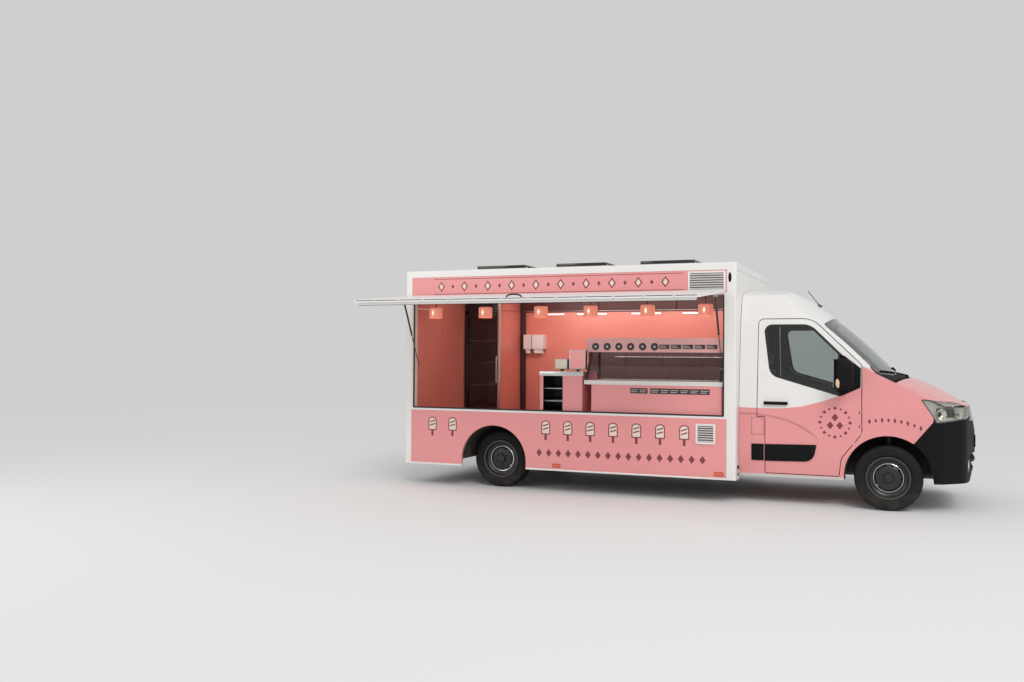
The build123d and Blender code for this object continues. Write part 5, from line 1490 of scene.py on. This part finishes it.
class FitOutside(bpy.types.Operator):
    """Fit the post's grip, the rear's lamps, rain strip, plate and handle, and the side markers"""

    bl_idname = "truck.fit_outside"
    bl_label = "Fit the box's outside"

    def execute(self, context):
        bm = bmesh.new()
        bead(bm, (0.588, -1.1995, 2.424), (0.018, 0.003, 0.055), steps=32)
        place_piece("post_grip", bm, "truck", [black_plastic()])

        bm = bmesh.new()
        reflector = [(-0.002, 0.030), (0.004, 0.030), (0.006, 0.024), (0.006, 0.0)]
        marker = [(-0.002, 0.026), (0.006, 0.026), (0.012, 0.020), (0.014, 0.0)]
        for rows, y, z in ((reflector, 1.068, 0.46), (marker, 1.10, 2.535)):
            for side, _ in SIDES:
                turned(bm, rows, (BOX_REAR - 0.001, side * y, z), (-1, 0, 0), 32, closed=False)
        place_piece("rear_reflectors", bm, "truck", [lens("Reflector red", (0.45, 0.01, 0.01), 0.004, "Y")])

        bm = bmesh.new()
        block(bm, (BOX_REAR - 0.012, BOX_REAR + 0.001), (-1.04, -0.21), (2.300, 2.314), 0.003, 2)
        block(bm, (BOX_REAR - 0.012, BOX_REAR - 0.008), (-1.04, -0.21), (2.308, 2.324), 0.0015, 2)
        place_piece("rain_strip", bm, "truck", [aluminium()])

        bm = bmesh.new()
        for side, _ in SIDES:
            for x in (0.476, -1.378):
                low, high = x - 0.052, x + 0.052
                film(bm, oblong(low, high, 0.292, 0.334, 0.020), side * 1.1965, 0.0035, 1, 0.001)
                film(bm, oblong(low + 0.004, high - 0.004, 0.296, 0.330, 0.0165), side * 1.1995, 0.0105, 0, 0.005)
        place_piece("marker_lenses", bm, "truck", [lens("Amber lens", (0.78, 0.10, 0.015)), rubber()],
                    ("side_markers",))

        bm = bmesh.new()
        block(bm, (BOX_REAR - 0.004, BOX_REAR + 0.006), (0.12, 0.66), (0.60, 0.726), 0.003, 2, index=0)
        block(bm, (BOX_REAR - 0.007, BOX_REAR - 0.003), (0.13, 0.65), (0.608, 0.718), 0.002, 2, index=1)
        block(bm, (BOX_REAR - 0.016, BOX_REAR + 0.004), (0.33, 0.45), (0.740, 0.764), 0.005, 2, index=0)
        place_piece("rear_plate", bm, "truck", [black_plastic(), white_paint()])

        bm = bmesh.new()
        x = BOX_REAR - 0.004
        block(bm, (x - 0.004, x + 0.009), (-0.345, -0.285), (1.08, 1.26), 0.004, 2, index=0)
        wire(bm, [(x, -0.315, 1.23), (x - 0.012, -0.315, 1.225), (x - 0.014, -0.315, 1.17), (x - 0.012, -0.315, 1.115),
                  (x, -0.315, 1.11)], 0.007, 1, smooth=True)
        drum(bm, (x - 0.005, -0.315, 1.095), (1, 0, 0), 0.009, 0.006, 20, 1)
        place_piece("rear_door_handle", bm, "rear_door", [black_plastic(), bright_metal()])
        return {"FINISHED"}


# Louvred vents on the right side. Columns: low and high X, low and high Z.
VENTS = [(0.136, 0.542, 2.278, 2.496), (0.226, 0.438, 0.629, 0.846)]
SLATS = 7
VENT_BACK = -1.1962


class FitVents(bpy.types.Operator):
    """Fit the louvred vents with their frames and slats"""

    bl_idname = "truck.fit_vents"
    bl_label = "Fit the vents"

    def execute(self, context):
        bm = bmesh.new()
        grey = finish("Vent slats", (0.70, 0.66, 0.64), 0.4, spread=0.05, shade=0.06, dust=0.15, grain=500.0,
                      depth=0.00005)
        rim = 0.020
        tilt = Matrix.Rotation(radians(28), 4, "X")
        for x0, x1, z0, z1 in VENTS:
            block(bm, (x0 + 0.004, x1 - 0.004), (-1.1985, VENT_BACK), (z0 + 0.004, z1 - 0.004), index=1)
            between = (x0 + rim, x1 - rim)
            for x, z in (((x0, x0 + rim), (z0, z1)), ((x1 - rim, x1), (z0, z1)), (between, (z0, z0 + rim)),
                         (between, (z1 - rim, z1))):
                block(bm, x, (-1.2100, VENT_BACK), z, 0.0025, 2, index=0)
            pitch = (z1 - z0 - 2 * rim) / SLATS
            half = pitch * 0.34
            for i in range(SLATS):
                z = z0 + rim + (i + 0.42) * pitch
                block(bm, between, (-1.2085, -1.2065), (z - half, z + half), 0.0006, 1, index=2, turn=tilt)
            for x in (x0 + 0.010, x1 - 0.010):
                for z in (z0 + 0.010, z1 - 0.010):
                    bead(bm, (x, -1.2096, z), (0.004, 0.0012, 0.004), 2, steps=12)
        place_piece("vent_louvres", bm, "truck", [white_paint(), black_plastic(), grey],
                    ("louvre_vents",))
        return {"FINISHED"}


class FitSolar(bpy.types.Operator):
    """Frame the solar panels in aluminium and stand them on rails"""

    bl_idname = "truck.fit_solar"
    bl_label = "Fit the solar panels"

    def execute(self, context):
        bm = bmesh.new()
        for low, high in ((-2.569, -1.938), (-1.534, -0.918), (-0.505, 0.118)):
            block(bm, (low + 0.006, high - 0.006), (-0.794, 0.794), (2.634, 2.662), index=0)
            for x in ((low, low + 0.012), (high - 0.012, high)):
                block(bm, x, (-0.80, 0.80), (2.630, 2.665), 0.002, 2, index=2)
            for y in ((-0.80, -0.788), (0.788, 0.80)):
                block(bm, (low + 0.012, high - 0.012), y, (2.630, 2.665), 0.002, 2, index=2)
            rail = (low - 0.020, high + 0.020)
            for y in (-0.77, 0.0, 0.77):
                block(bm, rail, (y - 0.018, y + 0.018), (2.585, 2.590), index=1)
                block(bm, rail, (y - 0.014, y - 0.009), (2.588, 2.631), index=1)
                block(bm, rail, (y + 0.009, y + 0.014), (2.588, 2.631), index=1)
                for x in (low - 0.010, high + 0.010):
                    drum(bm, (x, y, 2.594), (0, 0, 1), 0.006, 0.010, 6, 1)
                    block(bm, (x - 0.006, x + 0.006), (y - 0.014, y + 0.014), (2.628, 2.640), 0.001, 1, index=1)
        place_piece("solar_frames", bm, "truck", [solar_cells(), aluminium(), gloss_black()],
                    ("solar_panels",))
        return {"FINISHED"}


# ---------------------------------------------------------------- inside the box

PENDANT_XS = (-3.032, -2.365, -1.650, -1.037, -0.366, 0.287)
PENDANT_Y = -1.0
# Profiles of a pendant lamp. Columns: height, radius.
SHADE = [(2.020, 0.082), (2.138, 0.082), (2.150, 0.072), (2.150, 0.010), (2.147, 0.010), (2.147, 0.070),
         (2.136, 0.079), (2.020, 0.079)]
HOLDER = [(2.145, 0.020), (2.112, 0.020), (2.108, 0.014), (2.108, 0.0)]
BULB = [(2.112, 0.012), (2.096, 0.020), (2.074, 0.030), (2.056, 0.026), (2.046, 0.012), (2.043, 0.0)]
ROSE = [(CEILING - 0.022, 0.0), (CEILING - 0.022, 0.030), (CEILING - 0.012, 0.042), (CEILING, 0.042)]
SHADE_TOP = 2.150


class FitPendants(bpy.types.Operator):
    """Hang six open lamp shades with bulbs over the hatch"""

    bl_idname = "truck.fit_pendants"
    bl_label = "Hang the pendant lamps"

    def execute(self, context):
        bm = bmesh.new()
        up = (0, 0, 1)
        for x in PENDANT_XS:
            spot = (x, PENDANT_Y, 0.0)
            turned(bm, SHADE, spot, up, 56, 0)
            turned(bm, HOLDER, spot, up, 24, 1, closed=False)
            turned(bm, BULB, spot, up, 28, 2, closed=False)
            drum(bm, (x, PENDANT_Y, (SHADE_TOP + CEILING) / 2), up, 0.005, CEILING - SHADE_TOP, 12, 1)
            turned(bm, ROSE, spot, up, 32, 1, closed=False)
            film(bm, lozenge(x, 2.084, 0.015, 0.036), -1.0808, 0.0022, 3)
        place_piece("pendant_shades", bm, "truck",
                    [lit_shade(), black_plastic(), glow("Warm bulb", (1.0, 0.62, 0.33), 6.0),
                     glow("Lit cut-out", (1.0, 0.70, 0.55), 0.9)], ("pendant_lamps",))
        return {"FINISHED"}


def strip_dark():
    return finish("Label strip", (0.045, 0.032, 0.034), 0.3, spread=0.04, shade=0.1, dust=0.0, depth=0.00002)


def strip_pale():
    return finish("Blank label", (0.62, 0.55, 0.50), 0.5, spread=0.04, shade=0.1, dust=0.0, depth=0.00002)


class FitFreezer(bpy.types.Operator):
    """Fit the freezer's pans and label strips, and the band of blank signs along the shelf"""

    bl_idname = "truck.fit_freezer"
    bl_label = "Fit the freezer and the shelf"

    def execute(self, context):
        bm = bmesh.new()
        first, pitch, width = -0.924, 0.1715, 0.166
        for y in ((-1.092, -0.806), (-0.794, -0.508)):
            for i in range(8):
                x = first + i * pitch
                part = bmesh.new()
                block(part, (x, x + width), y, (1.09, 1.262), 0.012, 3)
                top = [face for face in part.faces if face.normal.z > 0.9]
                bmesh.ops.inset_region(part, faces=top, thickness=0.004)
                bmesh.ops.translate(part, verts=list({v for f in top for v in f.verts}), vec=(0, 0, -0.045))
                merge(bm, part, 0)
        place_piece("freezer_pans", bm, "truck", [steel()])

        bm = bmesh.new()
        for low, high, count in ((-0.52, -0.322, 2), (-0.293, 0.366, 6)):
            block(bm, (low, high), (-1.1525, -1.1500), (1.158, 1.218), index=0)
            pitch = (high - low) / count
            for i in range(count):
                x = low + (i + 0.5) * pitch
                block(bm, (x - pitch * 0.40, x + pitch * 0.40), (-1.1532, -1.1524), (1.194, 1.200), index=1)
                block(bm, (x - pitch * 0.40, x + pitch * 0.25), (-1.1532, -1.1524), (1.174, 1.180), index=1)
        place_piece("freezer_labels", bm, "truck", [strip_dark(), strip_pale()])

        bm = bmesh.new()
        disc = [(0.0, 0.0), (0.0, 0.043), (0.0015, 0.043), (0.0015, 0.0)]
        eye = [(0.0015, 0.0), (0.0015, 0.014), (0.0022, 0.014), (0.0022, 0.0)]
        for i in range(6):
            for rows, steps, index in ((disc, 36, 0), (eye, 24, 1)):
                turned(bm, rows, (-0.9915 + i * 0.139, -0.950, 1.680), (0, -1, 0), steps, index, closed=False)
        for i in range(5):
            x = -0.245 + i * 0.134
            block(bm, (x, x + 0.118), (-0.9518, -0.9500), (1.654, 1.704), 0.0004, 1, index=0)
            for lift in (0.012, 0.030):
                block(bm, (x + 0.008, x + 0.100 - lift), (-0.9524, -0.9516), (1.654 + lift, 1.661 + lift), 0.0002, 1,
                      index=1)
        place_piece("shelf_band", bm, "truck", [strip_dark(), strip_pale()])
        return {"FINISHED"}


class FitCounter(bpy.types.Operator):
    """Fit the counter's top, the tills' faces and screens, and the open niche with its wire racks"""

    bl_idname = "truck.fit_counter"
    bl_label = "Fit the counter"

    def execute(self, context):
        bm = bmesh.new()
        block(bm, (-1.605, -1.070), (-1.156, -0.590), (1.383, 1.391), 0.002, 2)
        block(bm, (-1.604, -1.071), (-1.156, -1.150), (1.340, 1.385), 0.002, 2)
        place_piece("counter_top", bm, "truck", [steel()])

        bm = bmesh.new()
        for x0, x1, top, index in ((-1.290, -1.090, 1.638, 0), (-1.460, -1.312, 1.533, 1)):
            block(bm, (x0, x1), (-1.0235, -1.0200), (1.418, top), 0.003, 2, index=2)
            block(bm, (x0 + 0.012, x1 - 0.012), (-1.0245, -1.0233), (1.430, top - 0.012), 0.0006, 1, index=index)
            block(bm, (x0 + 0.010, x1 - 0.010), (-0.9600, -0.9580), (1.427, top - 0.012), 0.0008, 1, index=3)
        place_piece("till_faces", bm, "truck",
                    [glow("Rose screen", (0.62, 0.26, 0.25), 0.5), glow("Pale screen", (0.50, 0.44, 0.34), 0.5),
                     white_paint(), gloss_black()])

        bm = bmesh.new()
        x0, x1, y0, y1, z0, z1 = -1.560, -1.320, -1.149, -0.640, 0.900, 1.340
        thick = 0.006
        for x, y, z in (((x0, x0 + thick), (y0, y1), (z0, z1)), ((x1 - thick, x1), (y0, y1), (z0, z1)),
                        ((x0, x1), (y0, y1), (z0, z0 + thick)), ((x0, x1), (y0, y1), (z1 - thick, z1)),
                        ((x0, x1), (y1 - thick, y1), (z0, z1))):
            block(bm, x, y, z, 0.001, 1)
        for z in (1.045, 1.190):
            for i in range(9):
                y = y0 + 0.05 + i * 0.05
                wire(bm, [(x0 + thick, y, z), (x1 - thick, y, z)], 0.0022, 1)
            wire(bm, [(x0 + thick, y0 + 0.05, z + 0.004), (x1 - thick, y0 + 0.05, z + 0.004)], 0.0035, 1)
        place_piece("counter_niche", bm, "truck", [gloss_black(), aluminium()])
        return {"FINISHED"}


COVE = 2.176  # height of the underside of the wall's cove


class FitLeftWall(bpy.types.Operator):
    """Fit the fridge's door and housing, the wall's light strips, the splashback and the cove, with a dark strip of
    painted shadow beside the fridge
    """

    bl_idname = "truck.fit_left_wall"
    bl_label = "Fit the left wall"

    def execute(self, context):
        bm = bmesh.new()
        for x0, x1 in ((-3.29, -3.245), (-2.825, -2.78)):
            block(bm, (x0, x1), (0.388, 0.402), (0.50, 2.17), 0.003, 2)
        for z0, z1 in ((0.50, 0.565), (2.115, 2.17)):
            block(bm, (-3.29, -2.78), (0.388, 0.402), (z0, z1), 0.003, 2)
        wire(bm, [(-2.812, 0.392, 1.20), (-2.812, 0.358, 1.21), (-2.812, 0.358, 1.54), (-2.812, 0.392, 1.55)], 0.009, 1)
        for i in range(7):
            block(bm, (-3.25, -2.82), (0.392, 0.398), (0.462 + i * 0.006, 0.464 + i * 0.006), index=0)
        place_piece("fridge_door", bm, "truck", [gloss_black(), aluminium()])

        bm = bmesh.new()
        for x0, x1 in ((-2.52, -2.12), (-1.94, -1.50), (-1.16, -0.74), (-0.46, -0.10)):
            block(bm, (x0, x1), (1.145, PANEL_BACK), (2.134, 2.160), 0.004, 2, index=0)
            block(bm, (x0 + 0.008, x1 - 0.008), (1.140, 1.148), (2.139, 2.155), 0.003, 2, index=1)
        place_piece("wall_strips", bm, "truck",
                    [white_paint(), glow("Cool strip", (1.0, 0.86, 0.80), 1.15)])

        dark_board_and_shadow = finish("Dark board and painted shadow", (0.055, 0.022, 0.020), 0.5, spread=0.08, shade=0.25, dust=0.0,
                           grain=90.0, depth=0.0002)
        bm = bmesh.new()
        # A dark board on the wall beside the fridge's side: painted shadow of the gap between the fridge and the wall
        block(bm, (-2.776, -2.700), (1.125, PANEL_BACK), (FLOOR_TOP, CEILING), 0.004, 2, index=0)
        top = CEILING - 0.002
        block(bm, (-3.29, -2.782), (0.396, 0.410), (2.184, top), 0.002, 2, index=1)
        block(bm, (-2.792, -2.781), (0.410, 1.150), (2.184, top), 0.002, 2, index=2)
        block(bm, (-2.808, -2.766), (0.380, 0.402), (FLOOR_TOP, top), 0.004, 3, index=3)
        place_piece("fridge_housing", bm, "truck",
                    [dark_board_and_shadow, gloss_black(), left_wall_paint(), aluminium()])

        bm = bmesh.new()
        for i in range(4):
            x0 = -1.766 + i * 0.537
            block(bm, (x0, x0 + 0.533), (1.149, PANEL_BACK), (0.950, 1.640), 0.002, 2, index=0)
        block(bm, (-1.770, 0.382), (1.145, PANEL_BACK), (1.640, 1.652), 0.002, 2, index=1)
        for i in range(12):
            x = -1.32 + i * 0.145
            wire(bm, [(x, 1.149, 1.56), (x, 1.118, 1.555), (x, 1.116, 1.575)], 0.0032, 1)
        wire(bm, [(-1.38, 1.130, 1.558), (0.34, 1.130, 1.558)], 0.0045, 1)
        place_piece("splashback", bm, "truck", [dark_board_and_shadow, aluminium()])

        bm = bmesh.new()
        maroon = finish("Maroon board", (0.085, 0.022, 0.020), 0.5, spread=0.06, shade=0.2, dust=0.0, grain=90.0,
                        depth=0.0001)
        for x0, x1 in ((-2.698, -1.622), (-1.618, -0.532), (-0.528, 0.558)):
            block(bm, (x0, x1), (1.118, PANEL_BACK), (COVE, top), 0.008, 3, index=0)
        block(bm, (-2.698, 0.558), (1.114, 1.122), (COVE + 0.010, COVE + 0.018), 0.003, 2, index=1)
        place_piece("wall_cove", bm, "truck", [maroon, aluminium()])
        return {"FINISHED"}


# ---------------------------------------------------------------- studio


# Soft lamps. Columns: name, place, aim, width, height, power, colour.
LAMPS = [
    ("key", (4.0, -9.5, 6.5), (-0.3, 0.0, 1.2), 6.0, 4.0, 170.0, (1.0, 0.98, 0.95)),
    ("side", (-7.0, -8.0, 4.5), (-0.5, 0.0, 1.2), 5.0, 4.0, 110.0, (1.0, 0.98, 0.95)),
    ("front", (10.0, -1.0, 5.0), (1.0, 0.0, 1.2), 5.0, 4.0, 90.0, (0.97, 0.98, 1.0)),
    ("inside_rear", (-2.6, -0.4, 2.50), (-2.6, 0.2, 0.5), 0.9, 0.5, 3.0, (1.0, 0.86, 0.78)),
    ("inside_middle", (-1.2, -0.3, 2.50), (-1.2, 0.4, 0.5), 1.3, 0.6, 13.0, (1.0, 0.90, 0.86)),
    ("inside_front", (0.1, -0.3, 2.50), (0.1, 0.4, 0.5), 0.9, 0.6, 11.0, (1.0, 0.90, 0.86)),
    ("wall_wash_middle", (-1.85, 0.35, 2.20), (-1.85, 1.16, 1.88), 1.2, 0.3, 5.0, (1.0, 0.88, 0.84)),
    ("wall_wash_front", (-0.50, 0.35, 2.20), (-0.50, 1.16, 1.88), 1.2, 0.3, 4.0, (1.0, 0.88, 0.84)),
]
SUN_POWER = 0.95
SUN_WAY = (-0.42, 0.62, -0.75)

# The camera at the photograph's angle, in degrees, metres and millimetres
CAMERA_PLACE = (2.479, -11.772, 1.5899)
CAMERA_YAW, CAMERA_PITCH, CAMERA_ROLL = 22.6545, 0.7492, 0.3545
CAMERA_LENS = 34.49


def stand(name, data, place=(0, 0, 0), aim=None, way=None):
    """Add a light to the scene, turned to an aim or a way."""
    lamp = bpy.data.objects.new(name, data)
    lamp.location = place
    way = Vector(aim) - Vector(place) if aim else Vector(way)
    lamp.rotation_euler = way.to_track_quat("-Z", "Y").to_euler()
    bpy.context.scene.collection.objects.link(lamp)


class BuildStudio(bpy.types.Operator):
    """Set up the floor, the soft light and the camera at the photograph's angle"""

    bl_idname = "truck.build_studio"
    bl_label = "Build the studio"

    def execute(self, context):
        bm = bmesh.new()
        bmesh.ops.create_grid(bm, x_segments=2, y_segments=2, size=60.0)
        mesh = bpy.data.meshes.new("studio_floor")
        bm.to_mesh(mesh)
        bm.free()
        pale = finish("Studio floor", (0.76, 0.757, 0.754), 0.9, spread=0.02, shade=0.0, dust=0.0,
                      Specular_IOR_Level=0.1)
        mesh.materials.append(pale)
        floor = bpy.data.objects.new("studio_floor", mesh)
        context.scene.collection.objects.link(floor)

        world = bpy.data.worlds.new("Studio")
        context.scene.world = world
        world.use_nodes = True
        world.node_tree.nodes.clear()
        made = Tree(world.node_tree)
        # The truck is lit by one sky, and the camera, the glass and the shine see another
        path = made.node("LightPath").outputs
        light = made.node("Background", {"Color": (0.97, 0.985, 1.0), "Strength": 0.62})
        seen = made.node("Background", {"Color": (0.6235, 0.6235, 0.6225), "Strength": 1.0})
        direct = made.math("MAXIMUM", path["Is Camera Ray"], path["Is Transmission Ray"])
        direct = made.math("MAXIMUM", direct, path["Is Glossy Ray"])
        both = made.node("MixShader", {0: direct, 1: light.outputs[0], 2: seen.outputs[0]})
        made.feed(made.node("OutputWorld").inputs[0], both.outputs[0])

        sun = bpy.data.lights.new("sun", "SUN")
        sun.energy = SUN_POWER
        sun.angle = radians(25)
        sun.color = (1.0, 0.985, 0.96)
        stand("sun", sun, way=SUN_WAY)
        for name, place, aim, width, height, power, tint in LAMPS:
            lamp = bpy.data.lights.new(name, "AREA")
            lamp.shape = "RECTANGLE"
            lamp.size, lamp.size_y = width, height
            lamp.energy = power
            lamp.color = tint
            stand(name, lamp, place, aim)

        yaw, pitch, roll = radians(CAMERA_YAW), radians(CAMERA_PITCH), radians(CAMERA_ROLL)
        ahead = Vector((-sin(yaw) * cos(pitch), cos(yaw) * cos(pitch), sin(pitch)))
        level = Vector((cos(yaw), sin(yaw), 0.0))
        upright = level.cross(ahead)
        right = level * cos(roll) + upright * sin(roll)
        up = upright * cos(roll) - level * sin(roll)
        data = bpy.data.cameras.new("photo_camera")
        data.sensor_width = 36.0
        data.lens = CAMERA_LENS
        data.clip_end = 200.0
        camera = bpy.data.objects.new("photo_camera", data)
        turn = Matrix((right, up, -ahead)).transposed().to_4x4()
        camera.matrix_world = Matrix.Translation(CAMERA_PLACE) @ turn
        context.scene.collection.objects.link(camera)
        context.scene.camera = camera
        context.scene.view_settings.view_transform = "Standard"
        return {"FINISHED"}


OPERATORS = [PaintFrame, DressCab, FitGlass, TrimSides, FitMirrors, FitHeadlamps, FitFront, UpholsterCab, BuildWheels,
             DecoratePanels, FitHatch, FitOutside, FitVents, FitSolar, FitPendants, FitFreezer, FitCounter,
             FitLeftWall, BuildStudio]


class TruckPanel(bpy.types.Panel):
    """Lists the truck's settings and building steps"""

    bl_idname = "VIEW3D_PT_truck"
    bl_label = "Ice cream truck"
    bl_space_type = "VIEW_3D"
    bl_region_type = "UI"
    bl_category = "Ice cream truck"

    def draw(self, context):
        for group in (context.scene.truck_colours, context.scene.truck_sizes):
            for name in group.bl_rna.properties.keys():
                if name not in ("rna_type", "name"):
                    self.layout.prop(group, name)
        for operator in OPERATORS:
            self.layout.operator(operator.bl_idname)


def register():
    for item in (TruckColours, TruckSizes, *OPERATORS, TruckPanel):
        bpy.utils.register_class(item)
    bpy.types.Scene.truck_colours = bpy.props.PointerProperty(type=TruckColours)
    bpy.types.Scene.truck_sizes = bpy.props.PointerProperty(type=TruckSizes)


def unregister():
    del bpy.types.Scene.truck_sizes
    del bpy.types.Scene.truck_colours
    for item in reversed((TruckColours, TruckSizes, *OPERATORS, TruckPanel)):
        bpy.utils.unregister_class(item)


def main():
    register()
    for operator in OPERATORS:
        group, name = operator.bl_idname.split(".")
        result = getattr(getattr(bpy.ops, group), name)()
        if result != {"FINISHED"}:
            raise RuntimeError(f"{operator.bl_label} didn't finish")


if __name__ == "__main__":
    main()
